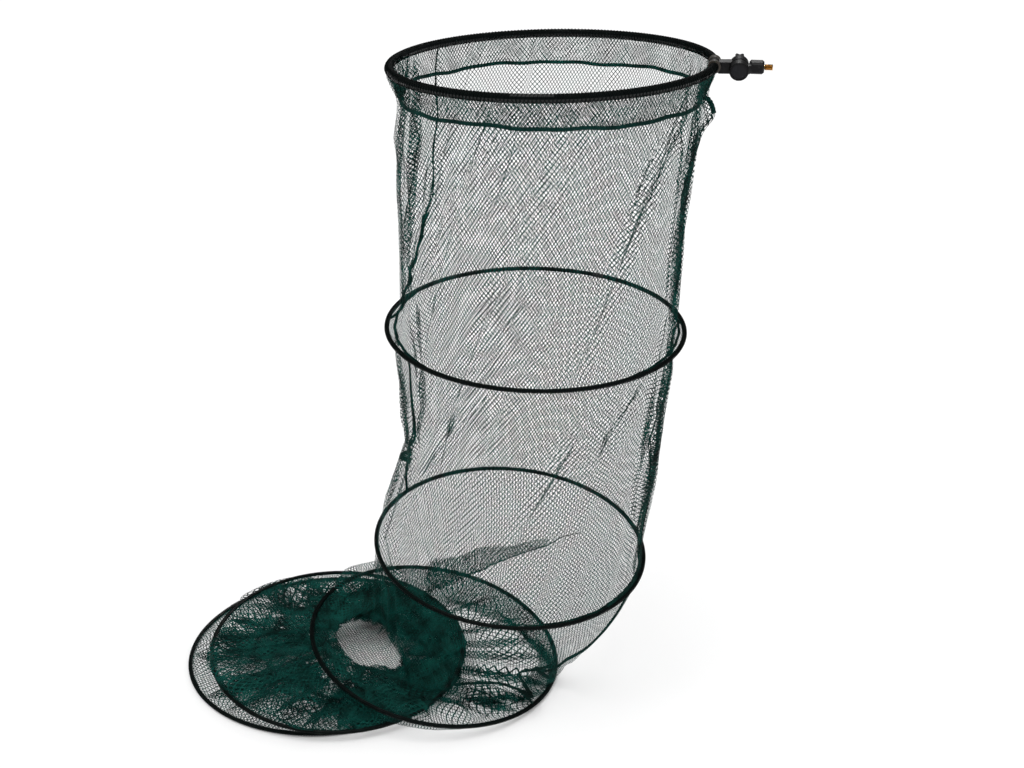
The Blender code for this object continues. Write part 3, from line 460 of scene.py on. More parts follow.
def hanging_grid(upper, lower, rows, waist, flatness, pleats, twist_deg, at_left, at_right, corner=0.0):
    """A sleeve between two hoops. waist is the share that it draws in all round, flatness how evenly, at_left
    and at_right how far its seams pull it in at each share of its drop, and corner how far its top right
    corner stands out under the connector."""
    base = np.linspace(0.0, 2.0 * math.pi, COLUMNS, endpoint=False)
    lines = []
    for row in range(rows + 1):
        share = row / rows
        swell = max(4.0 * share * (1.0 - share), 0.0) ** flatness

        def strength(start, end):
            inside = min(max((share - start) * 6.0, 0.0), 1.0) * min(max((end - share) * 6.0, 0.0), 1.0)
            return inside * min(share * 14.0, 1.0) * min((1.0 - share) * 14.0, 1.0)

        angles, push = pleated(base, pleats, share, strength, 1.9, wander=0.02)
        top, foot = on_hoop(upper, angles), on_hoop(lower, angles + math.radians(twist_deg))
        line = top * (1.0 - share) + foot * share
        middle = line.mean(axis=0)
        ripple = 0.0022 * np.sin(9.0 * base + 5.0 * share) + 0.0016 * np.sin(17.0 * base - 9.0 * share)
        radius = np.linalg.norm(line - middle, axis=1)
        fall = CORNER_ABOVE if share < CORNER_SHARE else CORNER_BELOW
        point = math.exp(-(((share - CORNER_SHARE) / fall) ** 2)) * near_side(base, RIGHT, 0.10)
        pull = (np.interp(share, *at_left) * near_side(base, LEFT + 0.15, 0.65)
                + np.interp(share, *at_right) * near_side(base, RIGHT, 0.45))
        scale = 1.0 - waist * swell - (push + pull + ripple * swell - corner * point) / radius
        lines.append(middle + (line - middle) * scale[:, None])
    return np.array(lines)


sleeve_grids = {
    "net_panel_1": hanging_grid(hoops[0], hoops[1], 60, waist=0.018, flatness=0.30, pleats=upper_pleats,
                                twist_deg=3.0, at_left=UPPER_LEFT, at_right=UPPER_RIGHT, corner=0.0145),
    "net_panel_2": hanging_grid(hoops[1], hoops[2], 60, waist=0.020, flatness=0.75, pleats=middle_pleats,
                                twist_deg=4.0, at_left=MIDDLE_LEFT, at_right=MIDDLE_RIGHT),
}
for name, grid in sleeve_grids.items():
    print_share(name, grid)

# %% [markdown]
# Below the third hoop there is twice as much net as height, so the sleeve sinks into folds. Cloth simulation
# finds them: the sleeve starts stretched out, its upper hoop comes down to its place, and its lower hoop
# stays. First come two shapes of its grid: pulled out, and with its hoops in place. Cloth that starts
# perfectly smooth folds too evenly, so the first shape is drawn in at its middle and a little rippled.

# %% Two shapes of the slack sleeve
SLACK_COLUMNS, SLACK_ROWS, SINK_FRAMES, DRAWN_IN = 240, 56, 80, 0.05


def stretched_and_lowered(upper, lower, columns, rows, bow):
    """The slack sleeve's grid pulled out to its full length, and the same grid with its hoops in place."""
    angles = np.linspace(0.0, 2.0 * math.pi, columns, endpoint=False)
    foot, final = on_hoop(lower, angles), on_hoop(upper, angles)
    gap = upper["centre"] - lower["centre"]
    raised = final + (FLAT_DROP - np.linalg.norm(gap)) * gap / np.linalg.norm(gap)
    pick = random.Random(5)
    phases = [pick.uniform(0, 2 * math.pi) for _ in range(6)]
    start, goal = [], []
    for row in range(rows + 1):
        share = row / rows
        line = raised * (1.0 - share) + foot * share
        middle = line.mean(axis=0)
        swell = 4.0 * share * (1.0 - share)
        ripple = sum(math.sin(3.0 * share + phase) * np.cos((5 + 3 * i) * angles + phase)
                     for i, phase in enumerate(phases))
        start.append(middle + (line - middle) * (1.0 - swell * (bow + 0.007 * ripple))[:, None])
        goal.append(final * (1.0 - share) + foot * share)
    return np.array(start), np.array(goal)


stretched, lowered = stretched_and_lowered(hoops[2], hoops[3], SLACK_COLUMNS, SLACK_ROWS, DRAWN_IN)
print("the slack sleeve has", SLACK_ROWS, "rows of", SLACK_COLUMNS, "faces")

# %% [markdown]
# Then the cloth simulation lets it sink. The rows of points on the hoops are pinned and follow a shape key,
# and a copy of the floor stops the net.

# %% Let the slack sleeve sink
def sink(name, start, goal, frames):
    """Simulate the net as its upper hoop comes down, and return the grid that it settles into."""
    rows, columns = start.shape[0] - 1, start.shape[1]
    piece = sheet_object(name, start, net_green)
    pins = piece.vertex_groups.new(name="pins")
    last = rows * columns
    pins.add(list(range(columns)) + list(range(last, last + columns)), 1.0, "REPLACE")
    piece.shape_key_add(name="raised")
    lowered = piece.shape_key_add(name="lowered")
    lowered.data.foreach_set("co", goal.ravel())
    scene = bpy.context.scene
    for moment, value in ((1, 0.0), (int(frames * 0.6), 1.0)):
        lowered.value = value
        lowered.keyframe_insert("value", frame=moment)
    cloth = piece.modifiers.new("cloth", "CLOTH")
    settings = cloth.settings
    settings.quality, settings.mass, settings.air_damping = 7, 0.15, 2.0
    settings.tension_stiffness = settings.compression_stiffness = 30.0
    settings.shear_stiffness, settings.bending_stiffness = 4.0, 0.05
    settings.vertex_group_mass = "pins"
    settings.pin_stiffness = 1.0
    cloth.collision_settings.use_collision = True
    cloth.collision_settings.distance_min = 0.002
    cloth.collision_settings.use_self_collision = False
    cloth.point_cache.frame_start, cloth.point_cache.frame_end = 1, frames
    ground = floor.copy()
    ground.data = floor.data.copy()
    ground.location.z = 0.004
    scene.collection.objects.link(ground)
    ground.modifiers.new("stop", "COLLISION")
    ground.collision.thickness_outer = 0.002
    for moment in range(1, frames + 1):
        scene.frame_set(moment)
    view = bpy.context.evaluated_depsgraph_get()
    settled = np.zeros(len(piece.data.vertices) * 3)
    piece.evaluated_get(view).data.vertices.foreach_get("co", settled)
    scene.frame_set(1)
    bpy.data.objects.remove(ground, do_unlink=True)
    bpy.data.objects.remove(piece, do_unlink=True)
    return settled.reshape(start.shape)


slack_grid = sink("net_panel_3_cloth", stretched, lowered, SINK_FRAMES)
print("its lowest point is %.4f m above the floor" % (slack_grid[:, :, 2].min() - GROUND))

# %% [markdown]
# Two small pushes bring the settled net to the photograph. At the right it bulges out where it leaves the
# third hoop, and under the pile it keeps clear of the window that will be left there.

# %% Push the slack sleeve into place
BULGE, CLEAR_OF_WINDOW = 0.019, 0.042
turns = np.linspace(0.0, 2.0 * math.pi, SLACK_COLUMNS, endpoint=False)
drop_share = np.linspace(0.0, 1.0, SLACK_ROWS + 1)
upper_part = np.sin(math.pi * np.minimum(2.4 * drop_share, 1.0))
lower_part = np.sin(math.pi * np.clip((drop_share - 0.34) / 0.40, 0.0, 1.0))
bulge = BULGE * np.outer(upper_part, near_side(turns, RIGHT - 0.35, 0.5))
clear = CLEAR_OF_WINDOW * np.outer(lower_part, near_side(turns, 3.55, 0.55))
slack_grid += bulge[:, :, None] * np.column_stack([np.cos(turns), np.sin(turns), np.zeros(SLACK_COLUMNS)])
slack_grid += clear[:, :, None] * [1.0, 0.0, 0.0]
sleeve_grids["net_panel_3"] = slack_grid
print_share("net_panel_3", slack_grid)

# %% [markdown]
# The last two sleeves lie flat in the pile. Each folds in from its hoops towards the middle and back out
# again, as a keep net does when it is put away. The net is as long round the middle as round the hoops, so it
# gathers there into pleats that lie on each other, and a small window stays open. Nearly the whole shape
# follows from that rule, so a formula places it: a tangential swing for the pleats, and a little height.

# %% Folded sleeves
SLIP_SHARE, FLOOR_GAP = 0.06, 0.0025


def folded_grid(upper, lower, middle, window, rows, pleats, seed, loose, crumple, zigzag_depth, zigzag_count):
    """A sleeve folded in between two hoops to a window round middle. loose is how far it strays outside them,
    crumple how far its folds are pushed about, zigzag_depth how deep it folds to and fro on its way, and
    zigzag_count how often. window gives the opening's radius at some angles, in degrees."""
    pick = random.Random(seed)
    angles = np.linspace(0.0, 2.0 * math.pi, COLUMNS, endpoint=False)
    waves = [(pick.randint(2, 6), pick.uniform(0, 6.28), pick.uniform(0.5, 1.0)) for _ in range(4)]
    wobble = sum(size * np.cos(count * angles + phase) for count, phase, size in waves) / 4.0
    inner = np.interp(np.degrees(angles), *window, period=360.0) * (1.0 + 0.06 * wobble)
    top, foot = on_hoop(upper, angles), on_hoop(lower, angles)
    gather = np.column_stack([np.cos(angles), np.sin(angles), np.zeros(COLUMNS)])
    round_it = np.column_stack([-np.sin(angles), np.cos(angles), np.zeros(COLUMNS)])
    target = np.array(middle) + gather * inner[:, None]
    beat = pleats * angles + 0.9 * np.sin(3 * angles + 1.0) + 1.3 * np.sin(7 * angles + seed)
    beat_2 = 1.7 * pleats * angles + 1.5 * np.sin(5 * angles + 2.0 * seed)
    calm, fuller = 0.85 * near_side(angles, 2.30, 0.60), 1.0 + 0.45 * near_side(angles, RIGHT, 0.9)
    spare = 2.0 * math.pi * upper["radius"] / pleats * fuller
    dents = [(pick.uniform(0, 6.28), pick.uniform(25.0, 60.0), pick.uniform(0, 6.28), pick.uniform(0, 6.28))
             for _ in range(7)]
    lines = []
    for row in range(rows + 1):
        share = row / rows
        deep = 1.0 - abs(2.0 * share - 1.0)
        edge = top if share < 0.5 else foot
        reach = deep ** 0.92
        line = edge * (1.0 - reach) + target * reach
        line[:, 2] = top[:, 2] * (1.0 - share) + foot[:, 2] * share
        drawn = min(1.7 * math.sqrt(max(1.0 - (1.0 - 0.8 * deep) ** 2, 0.0)), 1.0)
        drawn = drawn * (1.0 - calm * max(1.0 - (share / 0.30) ** 2, 0.0))
        turn = 0.35 * math.sin(5.0 * share + seed)
        swing = 0.24 * np.sin(beat + turn) + 0.13 * np.sin(beat_2 - 2.0 * turn)
        swing = spare * swing * drawn * (1.0 - 0.65 * deep**8)
        height = (0.0032 * np.cos(beat + 1.2 + turn) + 0.0020 * np.cos(beat_2 + share * 4.0)) * drawn
        stray = loose(angles, share)
        line = line + round_it * swing[:, None] + gather * stray[:, None]
        zigzag = np.sin(2.0 * math.pi * zigzag_count * share + 1.1 * np.sin(2.0 * angles + seed)
                        + 0.7 * np.sin(5.0 * angles))
        line = line + gather * (zigzag_depth * min(5.0 * deep, 1.0) * zigzag)[:, None]
        push = np.zeros((COLUMNS, 3))
        for heading, rate, phase, side in dents:
            walk = line[:, 0] * math.cos(heading) + line[:, 1] * math.sin(heading)
            wave = np.sin(rate * walk + phase + 3.0 * share)
            push += wave[:, None] * [math.cos(side), math.sin(side), 0.12]
        line = line + push * crumple * drawn[:, None]
        line[:, 2] += height + 0.5 * np.abs(stray)
        line[:, 2] = np.maximum(line[:, 2], GROUND + FLOOR_GAP)
        lines.append(line)
    return np.array(lines)


def slips(*places):
    """Net that slips outside the hoops; each place is (how far, angle, width, the share where it is most)."""
    def stray(angles, share):
        edge = min(25.0 * share, 1.0) * min(25.0 * (1.0 - share), 1.0)
        return sum(size * edge * np.exp(-((np.angle(np.exp(1j * (angles - angle))) / width) ** 4))
                   * math.exp(-(((share - peak) / SLIP_SHARE) ** 2)) for size, angle, width, peak in places)
    return stray


# %% [markdown]
# The window in the pile is read off the photograph, every twenty degrees. The lower sleeve folds deeper to
# and fro and is more crumpled, and in three places the net has slipped out past the hoops.

# %% The two sleeves in the pile
PILE_WINDOW = (list(range(0, 360, 20)),
               [0.045, 0.043, 0.048, 0.043, 0.038, 0.034, 0.040, 0.035, 0.044, 0.061, 0.067, 0.066, 0.067,
                0.061, 0.044, 0.039, 0.045, 0.048])
LOW_WINDOW = ([0, 60, 120, 180, 240, 300], [0.130, 0.105, 0.075, 0.050, 0.080, 0.115])
sleeve_grids["net_panel_4"] = folded_grid(
    hoops[3], hoops[4], (-0.630, -0.056, -1.021), PILE_WINDOW, rows=96, pleats=22, seed=4,
    loose=slips((0.034, 2.34, 0.36, 0.10)), crumple=0.0012, zigzag_depth=0.012, zigzag_count=4.5)
sleeve_grids["net_panel_5"] = folded_grid(
    hoops[4], hoops[5], (-0.662, -0.055, -1.043), LOW_WINDOW, rows=96, pleats=14, seed=9,
    loose=slips((0.022, 2.35, 0.50, 0.92), (0.034, 4.05, 0.75, 0.12)), crumple=0.0050, zigzag_depth=0.020,
    zigzag_count=4.5)
for name in ("net_panel_4", "net_panel_5"):
    print_share(name, sleeve_grids[name])

# %% [markdown]
# Each sleeve is a sheet between the hoop above it and the hoop below it, in place of the frame's own part for
# it, which is hidden. A grid with fewer columns than the others is smoothed once more.

# %% Put the sleeves in place
def hang_between(piece):
    """Bake a piece's placement into its mesh."""
    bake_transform(piece)


for index, (name, grid) in enumerate(sleeve_grids.items()):
    tone = middle_net if name == "net_panel_2" else net_green
    piece = sheet_object(name.replace("net_panel", "net_sleeve"), grid, tone)
    if grid.shape[1] < COLUMNS:
        refine = piece.modifiers.new("refine", "SUBSURF")
        refine.levels = refine.render_levels = 1
        refine.uv_smooth = "NONE"
    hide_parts(name)
    hang_between(piece)
    print(piece.name, "is blended between", BODIES[index], "and", BODIES[index + 1])

# %% [markdown]
# The floor of the keep net is a disc of the same net, stretched in the lowest hoop. Its map is the view from
# above, because a stretched disc is already flat.

# %% The bottom net
SPOKES = 96


def disc_object(name, hoop, rings, sag, material):
    """A disc of net in a hoop, with a little sag, mapped as seen from above."""
    angles = np.linspace(0.0, 2.0 * math.pi, SPOKES, endpoint=False)
    points = [hoop["centre"] - np.array([0.0, 0.0, sag])]
    for ring in range(1, rings + 1):
        share = ring / rings
        edge = on_hoop(hoop, angles, reach=hoop["radius"] * (share - 1.0))
        edge[:, 2] -= sag * (1.0 - share**2) + 0.0006 * np.sin(9 * angles) * (1.0 - share)
        points += list(edge)
    pairs = [(1 + column, 1 + (column + 1) % SPOKES) for column in range(SPOKES)]
    faces = [(0, here, after) for here, after in pairs]
    for ring in range(rings - 1):
        inner, outer = ring * SPOKES, (ring + 1) * SPOKES
        faces += [(inner + here, outer + here, outer + after, inner + after) for here, after in pairs]
    points = [list(point) for point in points]
    spots = [points[corner][:2] for face in faces for corner in face]
    return net_object(name, points, faces, spots, material)


base_sheet = disc_object("base_sheet", hoops[5], rings=24, sag=0.0012, material=net_green)
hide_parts("base_net")
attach(base_sheet, "hoop_6")

# %% [markdown]
# At the mouth the net is folded over the hoop and hangs double inside and outside it, down to a hem with a
# cord in it. Left and right the maker has gathered the spare net into a bunch, so the collar is drawn in
# there. The hem's line is read off the photograph: it hangs lowest behind, higher at the front, and highest at
# the left.

# %% The collar and its hem line
HEM_DROP, COLLAR_GAP = 0.0475, 0.0035
COLLAR_CUT = (FLAT_GIRTH, 0.050)


def hem_line(angles, reach=0.0):
    """The line of the hem cord round the mouth, drawn in at the left and right bunches."""
    left, right = near_side(angles, LEFT, 0.50), near_side(angles, RIGHT, 0.34)
    front, left_front = near_side(angles, FRONT, 1.1), near_side(angles, LEFT + 0.80, 0.42)
    drop = HEM_DROP - 0.011 * left - 0.001 * right - 0.0050 * front - 0.0045 * left_front
    drop = drop + 0.0014 * np.sin(5 * angles + 1.0) + 0.0010 * np.sin(11 * angles)
    inward = -0.0015 - 0.020 * left - 0.0155 * right + 0.0010 * np.sin(7 * angles)
    line = on_hoop(hoops[0], angles, reach=inward + reach)
    line[:, 2] -= drop + 0.0006 * np.sin(23 * angles + 2.0)
    return line


def collar_grid(rows, gap, seed):
    """One layer of the collar, from the mouth hoop to the hem; gap is how far outside them it lies."""
    base = np.linspace(0.0, 2.0 * math.pi, COLUMNS, endpoint=False)
    pleats = all_pleats((seed, 7, LEFT, 0.22, 0.030, 1.0, 0.25), (seed + 1, 8, RIGHT, 0.20, 0.026, 1.0, -0.2),
                        (seed + 2, 8, FRONT, 1.1, 0.040, 0.4, 0.1), (seed + 3, 8, BACK, 1.1, 0.040, 0.4, 0.1))
    lines = []
    for row in range(rows + 1):
        share = row / rows
        strength = math.sin(math.pi * min(share + 0.12, 1.0))
        angles, push = pleated(base, pleats, share, lambda start, end: strength, 1.7)
        line = on_hoop(hoops[0], angles, reach=gap) * (1.0 - share) + hem_line(angles, gap) * share
        middle = line.mean(axis=0)
        radius = np.linalg.norm(line - middle, axis=1)
        lines.append(middle + (line - middle) * (1.0 - push / radius)[:, None])
    return np.array(lines)


collar_outer = sheet_object("collar_outer", collar_grid(14, COLLAR_GAP, 31), fine_net, drop=COLLAR_CUT[1])
collar_inner = sheet_object("collar_inner", collar_grid(14, -COLLAR_GAP, 41), fine_net, drop=COLLAR_CUT[1])
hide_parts("net_collar")
for piece in (collar_outer, collar_inner):
    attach(piece, "frame")
print("the collar's two layers are cut %.3f by %.3f m" % COLLAR_CUT)

# %% [markdown]
# Rope and lashings repeat one short shape along a path, which is what Geometry Nodes are for. One tree winds
# strands round a path: it resamples the path, sets a screw of points round it for each strand, and sweeps
# a small circle along the screw. The same tree makes the hem rope, the lashing on the hoops and the seams.

# %% A tree that winds strands round a path
def make_winding_tree():
    """Geometry Nodes: strands wound round a curve, each with its own start angle."""
    tree, (path, radius, thick, turns, strands, points, sides, material), end = new_group(
        "wind_strands",
        [("Path", "Geometry"), ("Radius", "Float", 0.002), ("Strand Radius", "Float", 0.001),
         ("Turns", "Float", 100.0), ("Strands", "Int", 3), ("Points", "Int", 2000), ("Sides", "Int", 6),
         ("Material", "Material")], [("Geometry", "Geometry")], kind="GeometryNodeTree")
    even = add_node(tree, "GeometryNodeResampleCurve", {"Curve": path, "Count": points})
    copies = add_node(tree, "GeometryNodeDuplicateElements",
                      {"Geometry": even.outputs["Curve"], "Amount": strands}, domain="SPLINE")
    along = add_node(tree, "GeometryNodeSplineParameter").outputs["Factor"]
    start = math_node(tree, "DIVIDE", copies.outputs["Duplicate Index"], strands)
    turned = math_node(tree, "ADD", math_node(tree, "MULTIPLY", along, turns), start)
    angle = math_node(tree, "MULTIPLY", turned, 2.0 * math.pi)
    normal = add_node(tree, "GeometryNodeInputNormal").outputs["Normal"]
    side = vector_node(tree, "CROSS_PRODUCT", add_node(tree, "GeometryNodeInputTangent").outputs[0], normal)
    arms = [vector_node(tree, "SCALE", direction,
                        Scale=math_node(tree, "MULTIPLY", math_node(tree, wave, angle), radius))
            for direction, wave in ((normal, "COSINE"), (side, "SINE"))]
    screw = add_node(tree, "GeometryNodeSetPosition",
                     {"Geometry": copies.outputs["Geometry"], "Offset": vector_node(tree, "ADD", *arms)})
    ring = add_node(tree, "GeometryNodeCurvePrimitiveCircle", {"Resolution": sides, "Radius": thick})
    shape = add_node(tree, "GeometryNodeCurveToMesh", {"Curve": screw.outputs["Geometry"], "Fill Caps": True,
                                                       "Profile Curve": ring.outputs["Curve"]}).outputs["Mesh"]
    for kind in ("RealizeInstances", "SetShadeSmooth"):
        shape = add_node(tree, "GeometryNode" + kind, {"Geometry": shape}).outputs["Geometry"]
    finish = add_node(tree, "GeometryNodeSetMaterial", {"Geometry": shape, "Material": material})
    tree.links.new(finish.outputs["Geometry"], end.inputs["Geometry"])
    return tree


winding = make_winding_tree()
print("the winding tree has", len(winding.nodes), "nodes")

# %% [markdown]
# A line of points becomes a curve, the tree runs on it as a modifier, and the result is kept as a plain mesh.
# The curve's normals stay upright, so that a winding stays even where the path bends.

# %% Wind strands round a line of points
def wound(name, points, closed=False, **values):
    """Strands wound round a line of points, as a plain mesh; each value goes to the input of its name."""
    data = bpy.data.curves.new(name, "CURVE")
    data.dimensions, data.twist_mode = "3D", "Z_UP"
    spline = data.splines.new("POLY")
    spline.points.add(len(points) - 1)
    spline.points.foreach_set("co", np.column_stack([points, np.ones(len(points))]).ravel())
    spline.use_cyclic_u = closed
    path = put_in_scene(name + "_path", data)
    modifier = path.modifiers.new("grow", "NODES")
    modifier.node_group = winding
    sockets = {item.name: item.identifier for item in winding.interface.items_tree if item.in_out == "INPUT"}
    for label, value in values.items():
        modifier[sockets[label.replace("_", " ")]] = value
    path.update_tag()
    bpy.context.view_layer.update()
    view = bpy.context.evaluated_depsgraph_get()
    mesh = bpy.data.meshes.new_from_object(path.evaluated_get(view), depsgraph=view)
    bpy.data.objects.remove(path, do_unlink=True)
    mesh.name = name
    print(name, "has", sum(len(face.vertices) - 2 for face in mesh.polygons), "triangles")
    return put_in_scene(name, mesh)


# %% [markdown]
# Cord is twisted twine: many fine fibres, painted a little lighter where they stand proud and darker between
# them, as a painted highlight and painted shade. A fine noise makes the fibres and a slow one lets the tone
# drift along the cord.

# %% Twine
def two_parts(tree, fine, slow):
    """Six parts of a fine pattern and four of a slow one."""
    fine, slow = math_node(tree, "MULTIPLY", fine, 0.6), math_node(tree, "MULTIPLY", slow, 0.4)
    return math_node(tree, "ADD", fine, slow)


def twine_material(name, colour, tone_and_painted_shade, roughness=0.75):
    """Twisted twine, painted lighter on its raised fibres and darker in the hollows between them, a painted
    highlight and painted shade, with a slow drift of its own tone.
    """
    material, tree, shader = new_material(name, Roughness=roughness, Specular_IOR_Level=0.08)
    place = add_node(tree, "ShaderNodeTexCoord").outputs["Object"]
    fibre = noise_node(tree, place, 900.0, 3.0, 0.6).outputs["Fac"]
    drift = noise_node(tree, place, 35.0, 2.0).outputs["Fac"]
    both = two_parts(tree, fibre, drift)
    # Raised fibres are painted lighter and the hollows darker, a painted highlight and painted shade, mixed
    # with the cord's slow drift of tone.
    tree.links.new(mix_colour(tree, ramp(tree, both, 0.35, 0.65), tone_and_painted_shade, colour), shader.inputs["Base Color"])
    add_bump(tree, shader, fibre, 0.5, 0.0003)
    return material


# Each twine runs from its colour to a darker painted shade, partly its own darker tone.
green_twine = twine_material("green_twine", (0.002, 0.036, 0.029), (0.001, 0.009, 0.008))
seam_twine = twine_material("seam_twine", (0.001, 0.020, 0.016), (0.001, 0.005, 0.004))
dark_twine = twine_material("dark_twine", (0.001, 0.005, 0.004), (0.0005, 0.002, 0.002), roughness=0.60)
print("twine for the hem, for the seams and for the lacing")

# %% [markdown]
# The hem's rope is three strands of twine that lie close to each other along the hem's line.

# %% Hem rope
ROUND_A_HOOP = np.linspace(0.0, 2.0 * math.pi, 360, endpoint=False)
hem_rope = wound("hem_rope", hem_line(ROUND_A_HOOP), closed=True, Radius=0.0015, Strand_Radius=0.0017,
                 Turns=150.0, Strands=3, Points=2000, Sides=6, Material=green_twine)
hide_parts("hem_cord")
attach(hem_rope, "frame")

# %% [markdown]
# The spare net at the left and right of the collar is pushed into a bunch. A bunch is a strip of net folded to
# and fro like a fan, narrow at the hem and wide at the hoop. Such a strip has four edges, so it is mapped by
# the lengths along its own rows.

# %% Bunches
def gathered_grid(middle, spread, narrow, folds, depth, puff, rows=12, columns=180):
    """A fan of folds round an angle of the mouth hoop, from hoop to hem, that stands out by puff."""
    across = np.linspace(-1.0, 1.0, columns)
    lines = []
    for row in range(rows + 1):
        share = row / rows
        angles = middle + spread * across * (1.0 - narrow * share) + 0.02 * np.sin(9.0 * across + 3.0 * share)
        beat = np.mod(folds * (across + 1.0) / 2.0 + 0.1 * math.sin(6.0 * share), 1.0)
        zigzag = np.abs(beat * 2.0 - 1.0) * 2.0 - 1.0
        reach = depth * zigzag * (0.5 + 0.5 * share) - 0.001
        reach = reach + puff * math.sin(math.pi * share**0.6) * (1.0 - across**2)
        top, foot = on_hoop(hoops[0], angles, reach=reach, lift=-0.003), hem_line(angles, reach)
        line = top * (1.0 - share) + foot * share
        line[:, 2] += 0.002 * np.sin(5.0 * across + 4.0 * share) * share
        lines.append(line)
    return np.array(lines)


def open_sheet(name, grid, material):
    """A sheet with four edges from a grid of points, mapped by its real lengths, and the size of its cut."""
    rows, columns = grid.shape[0] - 1, grid.shape[1] - 1
    row, column = np.divmod(np.arange(rows * columns), columns)
    corner = row * (columns + 1) + column
    faces = np.column_stack([corner, corner + columns + 1, corner + columns + 2, corner + 1])
    steps = np.linalg.norm(np.diff(grid, axis=1), axis=2).mean(axis=0)
    drops = np.linalg.norm(np.diff(grid, axis=0), axis=2).mean(axis=1)
    u, v = np.concatenate([[0.0], np.cumsum(steps)]), -np.concatenate([[0.0], np.cumsum(drops)])
    left, right, top, foot = u[column], u[column + 1], v[row], v[row + 1]
    spots = np.column_stack([left, top, left, foot, right, foot, right, top])
    piece = net_object(name, grid.reshape(-1, 3).tolist(), faces.tolist(), spots, material)
    return piece, (float(u[-1]), float(-v[-1]))


left_fan = gathered_grid(LEFT + 0.20, spread=0.48, narrow=0.45, folds=15, depth=0.0055, puff=0.007)
right_fan = gathered_grid(RIGHT - 0.04, spread=0.34, narrow=0.55, folds=10, depth=0.0060, puff=0.004)
for name, grid in (("left_bunch", left_fan), ("right_bunch", right_fan)):
    piece, cut = open_sheet(name, grid, fine_net)
    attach(piece, "frame")
    print(name, "is cut %.3f by %.3f m" % cut)

# %% [markdown]
# At the right the end of the hem stands out as a stiff little corner below the connector.

# %% The hem's corner
def line_through(knots, count):
    """A line of count points through some knots, in even steps from each knot to the next."""
    walk, places = np.linspace(0.0, 1.0, count), np.linspace(0.0, 1.0, len(knots))
    return np.column_stack([np.interp(walk, places, column) for column in zip(*knots)])


CORNER = [(-0.004, 0.0, 0.001), (0.004, -0.001, 0.000), (0.010, -0.003, -0.002), (0.015, -0.004, -0.008),
          (0.018, -0.004, -0.016), (0.0195, -0.004, -0.022)]
corner_line = hem_line(np.array([-0.06]))[0] + line_through(CORNER, 30)
hem_corner = wound("hem_corner", corner_line, Radius=0.0019, Strand_Radius=0.0021, Turns=2.5, Strands=3,
                   Points=60, Sides=8, Material=green_twine)
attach(hem_corner, "frame")

# %% [markdown]
# The tube of net has a seam down its left and its right side, where two edges are sewn together with doubled
# twine. A seam follows the sleeve's own points, so it lies in the sheet however the sheet is shaped.

# %% Points on a sleeve
def on_sleeve(grid, shares, angles_deg):
    """Points of a sleeve at shares of its drop and angles round it, between its own points."""
    rows, columns = grid.shape[0] - 1, grid.shape[1]
    down = np.clip(np.asarray(shares) * rows, 0.0, rows - 1e-6)
    around = np.mod(np.asarray(angles_deg) / 360.0 * columns, columns)
    row, column = down.astype(int), around.astype(int) % columns
    below, beside = (down - row)[..., None], (around - np.floor(around))[..., None]
    after = (column + 1) % columns
    upper_line = grid[row, column] * (1.0 - beside) + grid[row, after] * beside
    lower_line = grid[row + 1, column] * (1.0 - beside) + grid[row + 1, after] * beside
    return upper_line * (1.0 - below) + lower_line * below


def smoothed(line, reach):
    """A line whose points are each the mean of the points within reach before and after them."""
    return np.array([line[max(step - reach, 0):step + reach + 1].mean(axis=0) for step in range(len(line))])


def seam_points(grid, shares, angles_deg, stray, phase):
    """Points down a sleeve, at the angles that belong to the shares of its drop, straying a little."""
    walk = np.linspace(shares[0], shares[-1], 90)
    turned = np.interp(walk, shares, angles_deg)
    turned = turned + stray * np.sin(math.pi * walk) * np.sin(14.0 * walk + phase)
    return smoothed(on_sleeve(grid, walk, turned), 2)


# %% [markdown]
# Each seam is given by its sleeve and side, some shares of the drop and its angles there, in degrees, how
# thick its twine is, and how many strands of it run side by side.

